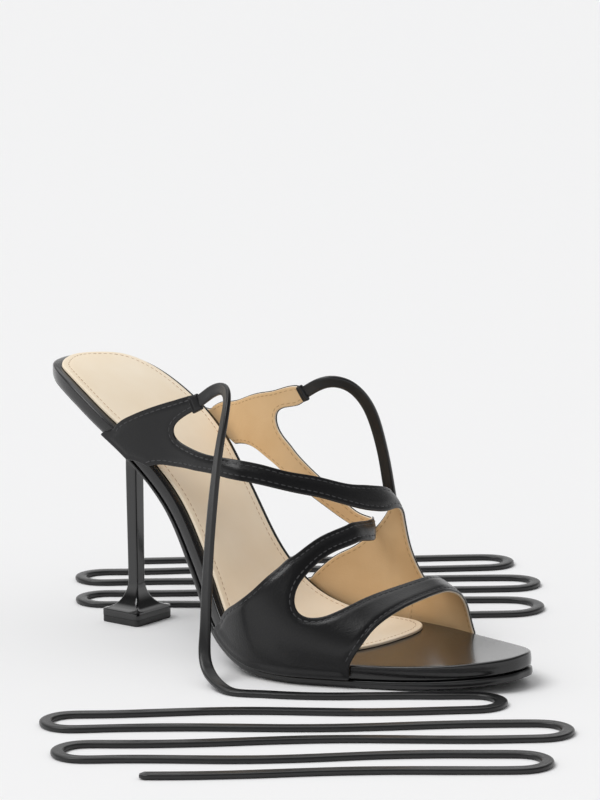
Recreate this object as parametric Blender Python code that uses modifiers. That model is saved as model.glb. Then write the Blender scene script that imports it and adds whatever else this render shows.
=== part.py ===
# Lace up heeled sandal, right shoe. Metres, +X to the toe, +Y to the wearer's
# left (medial side), +Z up, standing on z = 0.
import math

import bmesh
import bpy
from mathutils import Vector
from mathutils.geometry import delaunay_2d_cdt

MM = 0.001

# ---- driving sizes, in millimetres ----
SHOE_LENGTH = 209.5       # back of the seat to the toe, along the floor
BOARD_THICK = 5.4         # leather wrapped insole board, square to its top
SOCK_THICK = 0.9          # sock glued on the board
SOCK_INSET = 3.2          # board rim left bare round the sock
SOLE_THICK = 2.8          # outsole under the forefoot
GAP = 0.3                 # clearance between pieces
WALL = 1.4                # leather upper with its lining
STRAP_GAP = 0.5           # from the board's side to the lining
STEM_SIDE = 4.7           # square heel stem, just above the flare
STEM_TOP_SIDE = 5.2       # and where the cup has narrowed to it
STEM_TOP_Z = 63.0
FLARE_TOP_Z = 15.4
FLARE_EDGE_Z = 5.0        # top of the straight sided base block
TIP_THICK = 2.6           # top lift under the base block
BASE_LONG, BASE_WIDE = 17.9, 20.8
HEEL_X, HEEL_Y = 31.1, 1.4
BREAST_X = 45.0           # front of the heel seat
CENTRE_X, CENTRE_Y = 105.4, -2.6   # middle of the shoe's box, put at the origin
TIE_BORE = 2.9            # diameter of the plain tube that stands for a tie
TIE_FLOOR = 1.6           # height of a tie's centre line on the floor

# Insole board: x from the back, height of its top, lateral and medial edge.
BOARD_COLUMNS = ("x", "top", "lateral", "medial")
BOARD = (
    (0.0, 100.5, -3.2, 3.2),
    (2.5, 100.4, -11.2, 11.2),
    (8.0, 99.8, -17.8, 17.8),
    (17.0, 97.3, -23.0, 23.5),
    (27.0, 92.8, -26.0, 26.0),
    (41.0, 84.8, -28.0, 26.8),
    (57.0, 73.8, -27.0, 24.5),
    (73.0, 57.0, -24.7, 20.3),
    (90.0, 33.5, -28.5, 18.3),
    (106.0, 15.2, -36.5, 26.0),
    (122.0, 9.4, -41.0, 33.0),
    (134.0, 8.6, -40.6, 35.8),
    (154.0, 8.6, -34.0, 35.0),
    (170.0, 8.9, -27.5, 31.0),
    (184.0, 9.6, -21.2, 26.6),
    (196.0, 10.8, -14.8, 20.8),
    (204.0, 11.9, -8.6, 15.4),
    (208.0, 12.5, -3.4, 10.6),
    (209.5, 12.8, 1.2, 6.2),
)

# Last over the board: x, height of the ridge, side offset of the ridge.
RIDGE_COLUMNS = ("x", "top", "side")
RIDGE = (
    (20.0, 150.0, 0.0),
    (45.0, 150.0, 0.0),
    (60.0, 146.0, 1.0),
    (75.0, 136.0, 3.0),
    (90.0, 117.0, 5.0),
    (105.0, 96.0, 7.0),
    (120.0, 76.5, 10.0),
    (128.0, 66.5, 12.0),
    (138.0, 53.0, 12.0),
    (149.0, 40.8, 10.0),
    (160.0, 33.6, 9.0),
    (172.0, 29.6, 7.0),
    (190.0, 26.0, 5.0),
)
SECTION_POWER = 0.8       # 1 would be an ellipse, less is squarer
TOE_POWER = 1.15           # on the medial side of the toes

# Straps and panels on the last. x is along the shoe in mm. turn is the angle
# round the section in degrees, 0 at the lateral board edge and 180 at the
# medial one; past either edge it is mm down the side of the board.
# bend is 1 where the edge runs smoothly and 0 at a corner.
EDGE_COLUMNS = ("x", "turn", "bend")
LATERAL_QUARTER = (
    (44.0, -5.2, 0), (45.0, -2.6, 1), (49.6, 1.9, 1), (56.3, 6.8, 1),
    (64.7, 14.0, 1), (74.1, 23.6, 1), (81.9, 33.9, 0), (85.0, 33.4, 0),
    (80.2, 26.0, 1), (75.9, 19.5, 1), (73.3, 15.6, 1), (73.2, 13.6, 1),
    (75.0, 13.6, 1), (78.6, 15.6, 1), (84.9, 20.6, 0), (85.6, 16.1, 0),
    (75.5, 7.5, 1), (66.9, 2.2, 1), (60.2, -1.6, 1), (56.5, -5.2, 0),
)
LONG_STRAP = (
    (81.0, 17.2, 0), (91.5, 27.1, 1), (103.7, 41.9, 1), (111.0, 51.0, 1),
    (118.7, 61.2, 1), (124.5, 72.6, 1), (129.0, 83.8, 1), (131.2, 95.0, 1),
    (131.4, 106.0, 1), (130.6, 118.0, 1), (129.4, 128.0, 0), (130.0, 142.0, 0),
    (134.6, 130.0, 1), (135.8, 118.0, 1), (137.2, 106.0, 1), (138.0, 97.0, 1),
    (137.2, 90.5, 1), (133.2, 77.6, 1), (127.2, 64.5, 1), (121.7, 55.6, 1),
    (111.4, 43.4, 1), (95.3, 26.0, 1), (84.0, 14.6, 0),
)
MEDIAL_PANEL = (
    (130.4, 120.0, 0), (135.6, 120.0, 0), (134.6, 130.0, 1), (134.8, 142.0, 1),
    (136.4, 151.0, 1), (140.0, 158.0, 1), (145.0, 161.0, 0), (150.0, 172.0, 0),
    (150.0, 185.2, 0), (99.0, 185.2, 0), (98.6, 181.0, 1), (101.7, 177.6, 1),
    (107.3, 172.0, 1), (114.8, 165.3, 1), (121.4, 155.5, 1), (126.0, 144.5, 1),
    (128.9, 132.0, 1),
)
LATERAL_PANEL = (
    (104.0, -5.2, 0), (103.4, -1.2, 1), (107.5, 3.2, 1), (115.1, 8.8, 1),
    (122.4, 16.5, 1), (128.6, 28.0, 1), (132.3, 38.5, 0), (138.2, 38.0, 0),
    (137.6, 31.0, 1), (137.9, 24.6, 1), (140.0, 20.4, 1), (143.8, 20.3, 1),
    (148.2, 24.4, 0), (164.6, 19.0, 0), (162.8, 9.6, 1), (161.0, 3.0, 1),
    (160.0, -1.4, 1), (160.0, -5.2, 0),
)
TOE_BAND = (
    (143.8, 20.3, 0), (148.2, 24.4, 1), (153.2, 36.4, 1), (157.1, 53.5, 1),
    (159.4, 66.0, 1), (160.9, 80.0, 1), (161.2, 95.0, 1), (159.6, 112.0, 1),
    (156.0, 130.0, 1), (151.0, 146.0, 1), (146.0, 156.0, 1), (141.5, 160.0, 0),
    (140.0, 172.0, 0), (140.0, 185.2, 0), (168.4, 185.2, 0), (168.0, 179.0, 1),
    (167.2, 170.0, 1), (166.8, 158.0, 1), (167.6, 143.0, 1), (169.4, 126.0, 1),
    (170.8, 108.0, 1), (171.2, 90.0, 1), (170.4, 70.0, 1), (168.3, 49.4, 1),
    (166.2, 33.8, 1), (164.4, 19.0, 0),
)
INSTEP_STRAP = (
    (130.0, 34.0, 0), (132.3, 38.5, 1), (134.0, 46.9, 1), (135.3, 55.5, 1),
    (136.8, 65.6, 1), (137.6, 75.0, 1), (136.6, 86.0, 1), (134.0, 98.0, 1),
    (130.6, 112.0, 1), (127.4, 126.0, 1), (123.6, 139.0, 1), (118.5, 148.2, 1),
    (110.0, 152.6, 1), (100.0, 154.2, 1), (91.5, 155.4, 0), (88.0, 165.8, 0),
    (99.9, 162.4, 1), (111.2, 159.8, 1), (120.2, 154.6, 1), (127.6, 143.0, 1),
    (132.2, 128.0, 1), (136.2, 112.0, 1), (139.8, 98.0, 1), (142.0, 86.0, 1),
    (142.6, 76.0, 1), (142.0, 67.0, 1), (140.8, 58.8, 1),
    (139.4, 47.7, 1), (138.2, 36.0, 0),
)
MEDIAL_QUARTER = (
    (42.4, 185.2, 0), (44.4, 182.4, 1), (52.0, 177.6, 1), (66.2, 168.1, 1),
    (84.1, 147.6, 1), (97.6, 122.8, 0), (99.9, 125.8, 0), (95.4, 137.0, 1),
    (90.4, 144.8, 1), (86.6, 151.2, 1), (86.2, 155.0, 1), (88.4, 156.0, 1),
    (93.0, 154.6, 0), (93.0, 164.4, 0), (86.3, 167.2, 1), (79.9, 170.8, 1),
    (72.2, 174.8, 1), (65.2, 178.8, 1), (60.6, 182.0, 1), (57.5, 185.2, 0),
)
STRAPS = (LATERAL_QUARTER, LONG_STRAP, MEDIAL_PANEL, LATERAL_PANEL, TOE_BAND,
          INSTEP_STRAP, MEDIAL_QUARTER)
TURN_MM = 0.62            # mm round the last for a degree, for even spacing
EDGE_STEP = 3.0           # spacing of points along the edges
FIELD_STEP = 4.4          # and inside the panels
SLIVER = 0.004            # twice the area of a triangle too thin to keep

# Ties: the first rows follow the fall from the tab, in x, y, z. Then they lie
# on the floor in lanes, in u and v: u runs 39 degrees to the left of the toe
# and v 51 degrees to the right of it, from FLOOR_ORIGIN. Each lane runs at its
# v to u = end and turns back there into the next. wave is its wander in mm.
FLOOR_ORIGIN = (100.0, -20.0)
FLOOR_ANGLE = 38.83
FALL_COLUMNS = ("x", "y", "z")
LANE_COLUMNS = ("v", "end", "wave")
TIE_LATERAL_FALL = (
    (84.0, -22.1, 95.6), (89.0, -21.8, 98.6), (95.0, -23.0, 100.6),
    (101.0, -27.5, 99.0), (104.6, -33.6, 92.0), (106.0, -39.0, 80.0),
    (106.6, -43.4, 62.0), (107.2, -47.0, 42.0), (109.0, -51.0, 22.0),
    (114.0, -57.0, 7.0),
)
TIE_LATERAL_LANDING = (-4.0, 52.0)
TIE_LATERAL_LANES = (
    (61.0, 82.0, 1.0), (79.5, -58.0, 2.6), (98.0, 102.0, -2.4),
    (116.5, -52.0, 2.4), (135.0, 92.0, -2.6), (153.5, -60.0, 2.0),
)
TIE_MEDIAL_FALL = (
    (99.6, 20.8, 93.6), (104.4, 21.4, 96.4), (110.0, 24.0, 98.0),
    (115.0, 29.5, 95.0), (118.0, 36.0, 86.0), (119.4, 41.6, 70.0),
    (120.2, 46.0, 50.0), (121.6, 50.6, 29.0), (125.0, 56.5, 11.0),
)
TIE_MEDIAL_LANDING = (78.0, -55.0)
TIE_MEDIAL_LANES = (
    (-57.0, 104.0, 0.0), (-80.0, -54.0, -2.6), (-98.5, 108.0, 2.8),
    (-117.0, -56.0, -2.4), (-135.5, 100.0, 3.0), (-154.0, -60.0, -2.0),
)
LANE_STEP = 12.0
TIE_LENGTH = 1100.0       # each, cut to this along its route
TIE_POINTS = 130


def column(table, names, name):
    k = names.index(name)
    return [row[k] for row in table]


def smooth_through(xs, ys):
    """A curve through the rows that makes no hump between two of them."""
    n = len(xs)
    h = [xs[i + 1] - xs[i] for i in range(n - 1)]
    d = [(ys[i + 1] - ys[i]) / h[i] for i in range(n - 1)]
    m = [d[0]] + [0.0] * (n - 2) + [d[-1]]
    for i in range(1, n - 1):
        if d[i - 1] * d[i] > 0:
            a, b = 2 * h[i] + h[i - 1], h[i] + 2 * h[i - 1]
            m[i] = (a + b) / (a / d[i - 1] + b / d[i])

    def value(x):
        x = min(max(x, xs[0]), xs[-1])
        i = max(j for j in range(n - 1) if xs[j] <= x)
        t = (x - xs[i]) / h[i]
        return ((1 + 2 * t) * (1 - t) ** 2 * ys[i] + t * (1 - t) ** 2 * h[i] * m[i]
                + t * t * (3 - 2 * t) * ys[i + 1] + t * t * (t - 1) * h[i] * m[i + 1])

    return value


BX = column(BOARD, BOARD_COLUMNS, "x")
board_top = smooth_through(BX, column(BOARD, BOARD_COLUMNS, "top"))
board_lateral = smooth_through(BX, column(BOARD, BOARD_COLUMNS, "lateral"))
board_medial = smooth_through(BX, column(BOARD, BOARD_COLUMNS, "medial"))
RX = column(RIDGE, RIDGE_COLUMNS, "x")
ridge_top = smooth_through(RX, column(RIDGE, RIDGE_COLUMNS, "top"))
ridge_side = smooth_through(RX, column(RIDGE, RIDGE_COLUMNS, "side"))


def board_normal(x):
    """Unit normal of the board's top in the x, z plane."""
    s = (board_top(x + 1.0) - board_top(x - 1.0)) / (
        min(x + 1.0, BX[-1]) - max(x - 1.0, BX[0]))
    k = math.hypot(1.0, s)
    return -s / k, 1.0 / k


def ease(t):
    t = min(max(t, 0.0), 1.0)
    return t * t * (3 - 2 * t)


def last_point(x, turn):
    """Outer face of the upper at x and turn."""
    lateral = board_lateral(x) - STRAP_GAP - WALL
    medial = board_medial(x) + STRAP_GAP + WALL
    base = board_top(x)
    centre, half = (lateral + medial) / 2, (medial - lateral) / 2
    a = math.radians(min(max(turn, 0.0), 180.0))
    c, s = math.cos(a), math.sin(a)
    power = SECTION_POWER + (TOE_POWER - SECTION_POWER) * (
        ease((x - 138.0) / 20.0) * ease((turn - 60.0) / 55.0))
    y = centre - half * math.copysign(abs(c) ** power, c)
    y += (ridge_side(x) - centre) * s * s
    z = base + (ridge_top(x) - base) * abs(s) ** power
    drop = max(0.0, -turn, turn - 180.0)
    nx, nz = board_normal(x)
    return Vector((x - drop * nx, y, z - drop * nz)) * MM


def spline_between(p0, p1, p2, p3, t):
    return 0.5 * ((2 * p1) + (p2 - p0) * t + (2 * p0 - 5 * p1 + 4 * p2 - p3) * t * t
                  + (3 * p1 - p0 - 3 * p2 + p3) * t ** 3)


def outline_of(table, step):
    """Closed outline of a strap, smooth but for its corners."""
    rows = [(Vector((r[0], r[1] * TURN_MM)), r[2]) for r in table]
    n, out = len(rows), []
    for i in range(n):
        (a, bend_a), (b, bend_b) = rows[i], rows[(i + 1) % n]
        before = rows[i - 1][0] if bend_a else a
        after = rows[(i + 2) % n][0] if bend_b else b
        count = max(1, round((b - a).length / step))
        out += [spline_between(before, a, b, after, k / count) for k in range(count)]
    return out


def inside(point, loop):
    hit = False
    for i in range(len(loop)):
        a, b = loop[i - 1], loop[i]
        if (a.y > point.y) != (b.y > point.y):
            if point.x < a.x + (point.y - a.y) / (b.y - a.y) * (b.x - a.x):
                hit = not hit
    return hit


def triangles_in(points, edges, loops):
    verts, _, faces, *_ = delaunay_2d_cdt(points, edges, [], 0, 1e-5)
    kept = []
    for f in faces:
        a, b, c = (verts[i] for i in f)
        if abs((b - a).cross(c - a)) < SLIVER:
            continue
        middle = (a + b + c) / 3
        if any(inside(middle, loop) for loop in loops):
            kept.append(f)
    return verts, kept


def rim_of(faces):
    """Edges that only one triangle uses."""
    seen = {}
    for f in faces:
        for i in range(3):
            key = tuple(sorted((f[i], f[(i + 1) % 3])))
            seen[key] = seen.get(key, 0) + 1
    return [k for k, uses in seen.items() if uses == 1]


def joined_straps():
    """All straps as one sheet of triangles in x, turn, joined where they cross."""
    loops = [outline_of(t, EDGE_STEP) for t in STRAPS]
    points, edges = [], []
    for loop in loops:
        first = len(points)
        points += loop
        edges += [(first + i, first + (i + 1) % len(loop)) for i in range(len(loop))]
    verts, faces = triangles_in(points, edges, loops)
    rim = rim_of(faces)
    used = sorted({i for e in rim for i in e})
    place = {old: new for new, old in enumerate(used)}
    points = [verts[i] for i in used]
    edges = [(place[a], place[b]) for a, b in rim]
    # The board's edge is a fold, so it gets a line of points of its own.
    field = []
    row = -1
    for v in [k * FIELD_STEP for k in range(-2, 29)]:
        row += 1
        for k in range(40):
            field.append(Vector((40.0 + k * FIELD_STEP + (row % 2) * FIELD_STEP / 2, v)))
    for p in field:
        if not any(inside(p, loop) for loop in loops):
            continue
        near = min((p - q).length for q in points[:len(used)])
        if near > 0.62 * FIELD_STEP:
            points.append(p)
    return triangles_in(points, edges, loops)


# ---- scene and materials ----
for old in list(bpy.data.objects):
    bpy.data.objects.remove(old, do_unlink=True)
group = bpy.data.collections.new("lace_up_heeled_sandal")
bpy.context.scene.collection.children.link(group)


def finish(name, colour, roughness):
    mat = bpy.data.materials.new(name)
    mat.use_nodes = True
    shader = mat.node_tree.nodes["Principled BSDF"]
    shader.inputs["Base Color"].default_value = (*colour, 1.0)
    shader.inputs["Roughness"].default_value = roughness
    shader.inputs["Metallic"].default_value = 0.0
    mat.diffuse_color = (*colour, 1.0)
    return mat


BLACK_LEATHER = (0.012, 0.012, 0.013)
BEIGE = (0.78, 0.60, 0.40)


def place(name, mesh, colour, roughness):
    obj = bpy.data.objects.new(name, mesh)
    group.objects.link(obj)
    mesh.materials.append(finish(name + "_finish", colour, roughness))
    mesh.shade_smooth()
    mesh.set_sharp_from_angle(angle=math.radians(40))
    return obj


def loft(name, rings, colour, roughness):
    """Closed skin over rings of equal count, capped at both ends."""
    bm = bmesh.new()
    rows = [[bm.verts.new(p) for p in ring] for ring in rings]
    n = len(rows[0])
    for a, b in zip(rows, rows[1:]):
        for i in range(n):
            j = (i + 1) % n
            bm.faces.new((a[i], a[j], b[j], b[i]))
    bm.faces.new(list(reversed(rows[0])))
    bm.faces.new(rows[-1])
    bmesh.ops.recalc_face_normals(bm, faces=bm.faces)
    mesh = bpy.data.meshes.new(name)
    bm.to_mesh(mesh)
    bm.free()
    return place(name, mesh, colour, roughness)


PITCH = 6.0               # every plate has its sections at these steps of x
ROUNDED = 13.0            # length of a plate's rounded end


def stations(start, end, round_start=True, round_end=True):
    """Section places: even steps, and closer ones where the outline closes."""
    crowd = [ROUNDED * k for k in (0.0, 0.03, 0.1, 0.22, 0.4, 0.66)]
    low = start + (ROUNDED if round_start else 0.0)
    high = end - (ROUNDED if round_end else 0.0)
    even = [PITCH * k for k in range(60) if low < PITCH * k < high]
    head = [start + c for c in crowd] if round_start else [start]
    tail = [end - c for c in reversed(crowd)] if round_end else [end]
    return head + even + tail


def plate_ring(x, lateral, medial, top, thick, soften):
    """One section of a plate: flat top, softened edges, square to the board."""
    nx, nz = board_normal(x)
    r = min(soften, thick / 2.5, (medial - lateral) / 5)
    profile = ((lateral + r, 0.0), (lateral + 0.3 * r, 0.3 * r), (lateral, r),
               (lateral, thick - r), (lateral + 0.3 * r, thick - 0.3 * r),
               (lateral + r, thick), (medial - r, thick),
               (medial - 0.3 * r, thick - 0.3 * r), (medial, thick - r),
               (medial, r), (medial - 0.3 * r, 0.3 * r), (medial - r, 0.0))
    return [Vector((x + (top - d) * nx, y, board_top(x) + (top - d) * nz)) * MM
            for y, d in profile]


# ---- insole board ----
loft("insole_board",
     [plate_ring(x, board_lateral(x), board_medial(x), 0.0, BOARD_THICK, 1.2)
      for x in stations(0.35, SHOE_LENGTH - 0.2)],
     BLACK_LEATHER, 0.45)


# ---- insole sock, ending in a curve under the toe band ----
SOCK_END = 152.0


def sock_edges(x):
    back = max(0.0, x - 3.4)
    lateral = board_lateral(x) + SOCK_INSET
    medial = board_medial(x) - SOCK_INSET
    closing = 1.0 if x < SOCK_END - 16 else (
        max(0.0, 1 - ((x - SOCK_END + 16) / 16) ** 3)) ** (1 / 3)
    opening = 1.0 if back > 9 else math.sqrt(max(0.0, 1 - ((9 - back) / 9) ** 2))
    middle = (lateral + medial) / 2
    half = (medial - lateral) / 2 * min(closing, opening)
    return middle - half, middle + half


loft("insole_sock",
     [plate_ring(x, *sock_edges(x), GAP + SOCK_THICK, SOCK_THICK, 0.25)
      for x in stations(3.6, SOCK_END - 0.1)],
     BEIGE, 0.55)


# ---- outsole, from the heel breast to the toe ----
def sole_ring(x):
    lateral, medial = board_lateral(x) + 0.5, board_medial(x) - 0.5
    nx, nz = board_normal(x)
    steep = min(1.0, max(0.0, (100.0 - x) / 35.0))
    thick = SOLE_THICK - 1.5 * steep
    inner, outer = BOARD_THICK + GAP, BOARD_THICK + GAP + thick
    narrow = min(1.2, (medial - lateral) / 5)
    profile = ((lateral, inner), (lateral, inner + 0.55 * thick),
               (lateral + narrow, outer), (medial - narrow, outer),
               (medial, inner + 0.55 * thick), (medial, inner))
    ring = []
    for y, d in profile:
        z = board_top(x) - d * nz
        if abs(z) < 0.22 and x > 115:
            z = 0.0
        ring.append(Vector((x - d * nx, y, z)) * MM)
    return ring


SOLE_START = BREAST_X + 4.5
loft("outsole",
     [sole_ring(x) for x in stations(SOLE_START, SHOE_LENGTH - 0.6, False)],
     BLACK_LEATHER, 0.4)

# ---- heel: cup under the seat, square stem and flared base ----
RING = 32


def square_ring(half_long, half_wide, z, round_off):
    """A square with softened corners, point for point with the seat's outline."""
    pts = []
    for k in range(RING):
        a = 2 * math.pi * (k + 0.5) / RING
        c, s = math.cos(a), math.sin(a)
        p = 2.0 / round_off
        r = 1.0 / (abs(c) ** round_off + abs(s) ** round_off) ** (1 / round_off)
        pts.append((HEEL_X - half_long * r * c, HEEL_Y + half_wide * r * s, z))
    return pts


def seat_point(k):
    """Outline of the heel seat: the board's edge, closed by the breast."""
    a = 2 * math.pi * (k + 0.5) / RING
    c, s = math.cos(a), math.sin(a)
    if c > 0:
        x = 1.6 + (HEEL_X - 6.0 - 1.6) * (1 - c)
    else:
        x = HEEL_X - 6.0 + (BREAST_X - HEEL_X + 6.0) * min(1.0, -c * 1.25)
    edge = board_medial(x) - 1.4 if s > 0 else board_lateral(x) + 1.4
    if c < -0.8:
        edge *= abs(s) / 0.6
    nx, nz = board_normal(x)
    d = BOARD_THICK + GAP
    return x - d * nx, edge, board_top(x) - d * nz


seat = [seat_point(k) for k in range(RING)]
top_square = square_ring(STEM_TOP_SIDE / 2, STEM_TOP_SIDE / 2, STEM_TOP_Z, 5.0)
heel_rings = [seat]
for t in (0.1, 0.22, 0.36, 0.52, 0.68, 0.84):
    pull = 1 - (1 - t) ** 1.12
    heel_rings.append([tuple(a + (b - a) * (pull if i < 2 else t)
                             for i, (a, b) in enumerate(zip(p, q)))
                       for p, q in zip(seat, top_square)])
heel_rings.append(top_square)
for z in (46.0, 30.0):
    side = STEM_SIDE + (STEM_TOP_SIDE - STEM_SIDE) * (z - FLARE_TOP_Z) / (
        STEM_TOP_Z - FLARE_TOP_Z)
    heel_rings.append(square_ring(side / 2, side / 2, z, 5.0))
for t in (0.0, 0.25, 0.5, 0.72, 0.88, 1.0):
    z = FLARE_TOP_Z + (FLARE_EDGE_Z - FLARE_TOP_Z) * t
    grow = 1 - math.sqrt(max(0.0, 1 - t ** 2.4)) * (1 - 0.12 * t)
    heel_rings.append(square_ring(
        STEM_SIDE / 2 + (BASE_LONG - STEM_SIDE) / 2 * grow,
        STEM_SIDE / 2 + (BASE_WIDE - STEM_SIDE) / 2 * grow, z, 5.0 + 4.0 * t))
heel_rings.append(square_ring(BASE_LONG / 2, BASE_WIDE / 2, TIP_THICK + GAP, 9.0))
loft("heel", [[Vector(p) * MM for p in ring] for ring in heel_rings],
     BLACK_LEATHER, 0.15)
loft("heel_tip",
     [[Vector(p) * MM for p in square_ring(BASE_LONG / 2 - g, BASE_WIDE / 2 - g, z, 9.0)]
      for z, g in ((TIP_THICK, 0.1), (0.5, 0.1), (0.0, 0.5))],
     BLACK_LEATHER, 0.5)

# ---- upper: every strap and panel as one wall over the last ----
verts, faces = joined_straps()
bm = bmesh.new()
made = [bm.verts.new(last_point(v.x, v.y / TURN_MM)) for v in verts]
for f in faces:
    bm.faces.new([made[i] for i in f])
loose = [v for v in bm.verts if not v.link_faces]
bmesh.ops.delete(bm, geom=loose, context="VERTS")
bmesh.ops.recalc_face_normals(bm, faces=bm.faces)
away = sum((f.calc_center_median() - Vector((0.12, 0.0, 0.02))).dot(f.normal)
           for f in bm.faces)
if away < 0:
    bmesh.ops.reverse_faces(bm, faces=bm.faces)
mesh = bpy.data.meshes.new("upper")
bm.to_mesh(mesh)
bm.free()
upper = place("upper", mesh, BLACK_LEATHER, 0.45)
wall = upper.modifiers.new("wall", "SOLIDIFY")
wall.thickness = WALL * MM
wall.offset = -1.0
wall.use_even_offset = False
wall.use_rim = True


# ---- ties ----
def floor_point(u, v):
    a = math.radians(FLOOR_ANGLE)
    return Vector((FLOOR_ORIGIN[0] + u * math.cos(a) + v * math.sin(a),
                   FLOOR_ORIGIN[1] + u * math.sin(a) - v * math.cos(a), TIE_FLOOR))


def lane_points(landing, lanes):
    """Points along the lanes, each turning back into the next in a half circle."""
    out, at = [], landing[0]
    for k, (v, end, wave) in enumerate(lanes):
        n = max(2, round(abs(end - at) / LANE_STEP))
        for i in range(n + 1):
            t = i / n
            drift = (landing[1] - v) * (1 - t) ** 3 if k == 0 else 0.0
            wander = wave * math.sin(math.pi * t) * math.sin(2 * math.pi * t + 0.6 * k)
            out.append((at + (end - at) * t, v + drift + wander))
        if k + 1 < len(lanes):
            middle, r = (v + lanes[k + 1][0]) / 2, (lanes[k + 1][0] - v) / 2
            for a in (30, 60, 90, 120, 150):
                b = math.radians(a)
                out.append((end + math.copysign(abs(r) * math.sin(b), end - at),
                            middle - r * math.cos(b)))
        at = end
    return out


def route_of(fall, landing, lanes):
    """Points on a smooth curve through the rows, cut at the tie's length."""
    knots = [Vector(p) for p in fall] + [
        floor_point(u, v) for u, v in lane_points(landing, lanes)]
    fine = []
    for i in range(len(knots) - 1):
        a, b = knots[i], knots[i + 1]
        before = knots[i - 1] if i else a * 2 - b
        after = knots[i + 2] if i + 2 < len(knots) else b * 2 - a
        for k in range(20):
            p = spline_between(before, a, b, after, k / 20)
            p.z = max(p.z, TIE_FLOOR)
            fine.append(p)
    fine.append(knots[-1])
    length, run = 0.0, [0.0]
    for a, b in zip(fine, fine[1:]):
        length += (b - a).length
        run.append(length)
    if length < TIE_LENGTH:
        raise ValueError(f"the route is {length:.0f} mm and the tie {TIE_LENGTH:.0f} mm")
    last = max(i for i, r in enumerate(run) if r <= TIE_LENGTH)
    fine, run = fine[:last + 1], run[:last + 1]
    # Bends get their points closer together than straight runs do.
    share = [0.0]
    for i in range(1, len(fine)):
        j, k = max(0, i - 6), min(len(fine) - 1, i + 6)
        p, q = fine[i] - fine[j], fine[k] - fine[i]
        turn = p.angle(q, 0.0) / max(1.0, (p.length + q.length) / 2)
        share.append(share[-1] + (run[i] - run[i - 1]) * (1 + 22 * turn))
    out, j = [], 0
    for k in range(TIE_POINTS):
        s = share[-1] * k / (TIE_POINTS - 1)
        while j < len(share) - 2 and share[j + 1] < s:
            j += 1
        t = (s - share[j]) / (share[j + 1] - share[j])
        out.append(fine[j].lerp(fine[j + 1], min(1.0, t)))
    return out


for name, fall, landing, lanes in (
        ("tie_lateral", TIE_LATERAL_FALL, TIE_LATERAL_LANDING, TIE_LATERAL_LANES),
        ("tie_medial", TIE_MEDIAL_FALL, TIE_MEDIAL_LANDING, TIE_MEDIAL_LANES)):
    route = route_of(fall, landing, lanes)
    curve = bpy.data.curves.new(name, "CURVE")
    curve.dimensions = "3D"
    curve.bevel_depth = TIE_BORE / 2 * MM
    curve.bevel_resolution = 2
    curve.use_fill_caps = True
    line = curve.splines.new("POLY")
    line.points.add(len(route) - 1)
    for point, p in zip(line.points, route):
        point.co = (*(p * MM), 1.0)
    curve.materials.append(finish(name + "_finish", BLACK_LEATHER, 0.4))
    tie = bpy.data.objects.new(name, curve)
    group.objects.link(tie)

# ---- the box's bottom centre is the origin ----
for obj in group.objects:
    obj.location = Vector((-CENTRE_X, -CENTRE_Y, 0.0)) * MM
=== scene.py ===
import math

import bmesh
import bpy
import numpy as np
from mathutils import Matrix, Vector
from mathutils.geometry import delaunay_2d_cdt
from mathutils.kdtree import KDTree


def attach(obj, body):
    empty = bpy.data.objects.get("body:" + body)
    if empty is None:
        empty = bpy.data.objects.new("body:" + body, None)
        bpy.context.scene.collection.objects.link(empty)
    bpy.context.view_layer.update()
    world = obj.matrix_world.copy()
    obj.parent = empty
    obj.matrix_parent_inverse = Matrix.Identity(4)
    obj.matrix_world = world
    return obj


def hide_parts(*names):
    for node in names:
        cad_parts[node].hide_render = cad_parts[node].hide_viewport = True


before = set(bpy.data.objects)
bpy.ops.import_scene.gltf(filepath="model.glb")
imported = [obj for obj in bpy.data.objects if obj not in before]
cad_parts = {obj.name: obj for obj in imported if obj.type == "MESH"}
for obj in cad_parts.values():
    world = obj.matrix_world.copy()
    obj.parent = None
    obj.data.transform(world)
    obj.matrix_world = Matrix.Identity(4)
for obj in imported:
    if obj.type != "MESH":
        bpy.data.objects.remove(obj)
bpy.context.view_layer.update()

# ---------------------------------------------------------------- sizes, mm
ORIGIN = np.array([105.4, -2.6, 0.0])   # the shoe's own x, y at the row's origin
BOARD_THICK = 5.4
SOCK_THICK = 0.9
SOLE_THICK = 2.8
GAP = 0.3
WALL = 1.4
STRAP_GAP = 0.5
SHOE_LENGTH = 209.5
SECTION_POWER = 0.8
TOE_POWER = 1.15
TURN_MM = 0.62

BOARD = np.array((
    (0.0, 100.5, -3.2, 3.2),
    (2.5, 100.4, -11.2, 11.2),
    (8.0, 99.8, -17.8, 17.8),
    (17.0, 97.3, -23.0, 23.5),
    (27.0, 92.8, -26.0, 26.0),
    (41.0, 84.8, -28.0, 26.8),
    (57.0, 73.8, -27.0, 24.5),
    (73.0, 57.0, -24.7, 20.3),
    (90.0, 33.5, -28.5, 18.3),
    (106.0, 15.2, -36.5, 26.0),
    (122.0, 9.4, -41.0, 33.0),
    (134.0, 8.6, -40.6, 35.8),
    (154.0, 8.6, -34.0, 35.0),
    (170.0, 8.9, -27.5, 31.0),
    (184.0, 9.6, -21.2, 26.6),
    (196.0, 10.8, -14.8, 20.8),
    (204.0, 11.9, -8.6, 15.4),
    (208.0, 12.5, -3.4, 10.6),
    (209.5, 12.8, 1.2, 6.2),
))
RIDGE = np.array((
    (20.0, 150.0, 0.0),
    (45.0, 150.0, 0.0),
    (60.0, 146.0, 1.0),
    (75.0, 136.0, 3.0),
    (90.0, 117.0, 5.0),
    (105.0, 96.0, 7.0),
    (120.0, 76.5, 10.0),
    (128.0, 66.5, 12.0),
    (138.0, 53.0, 12.0),
    (149.0, 40.8, 10.0),
    (160.0, 33.6, 9.0),
    (172.0, 29.6, 7.0),
    (190.0, 26.0, 5.0),
))
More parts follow.
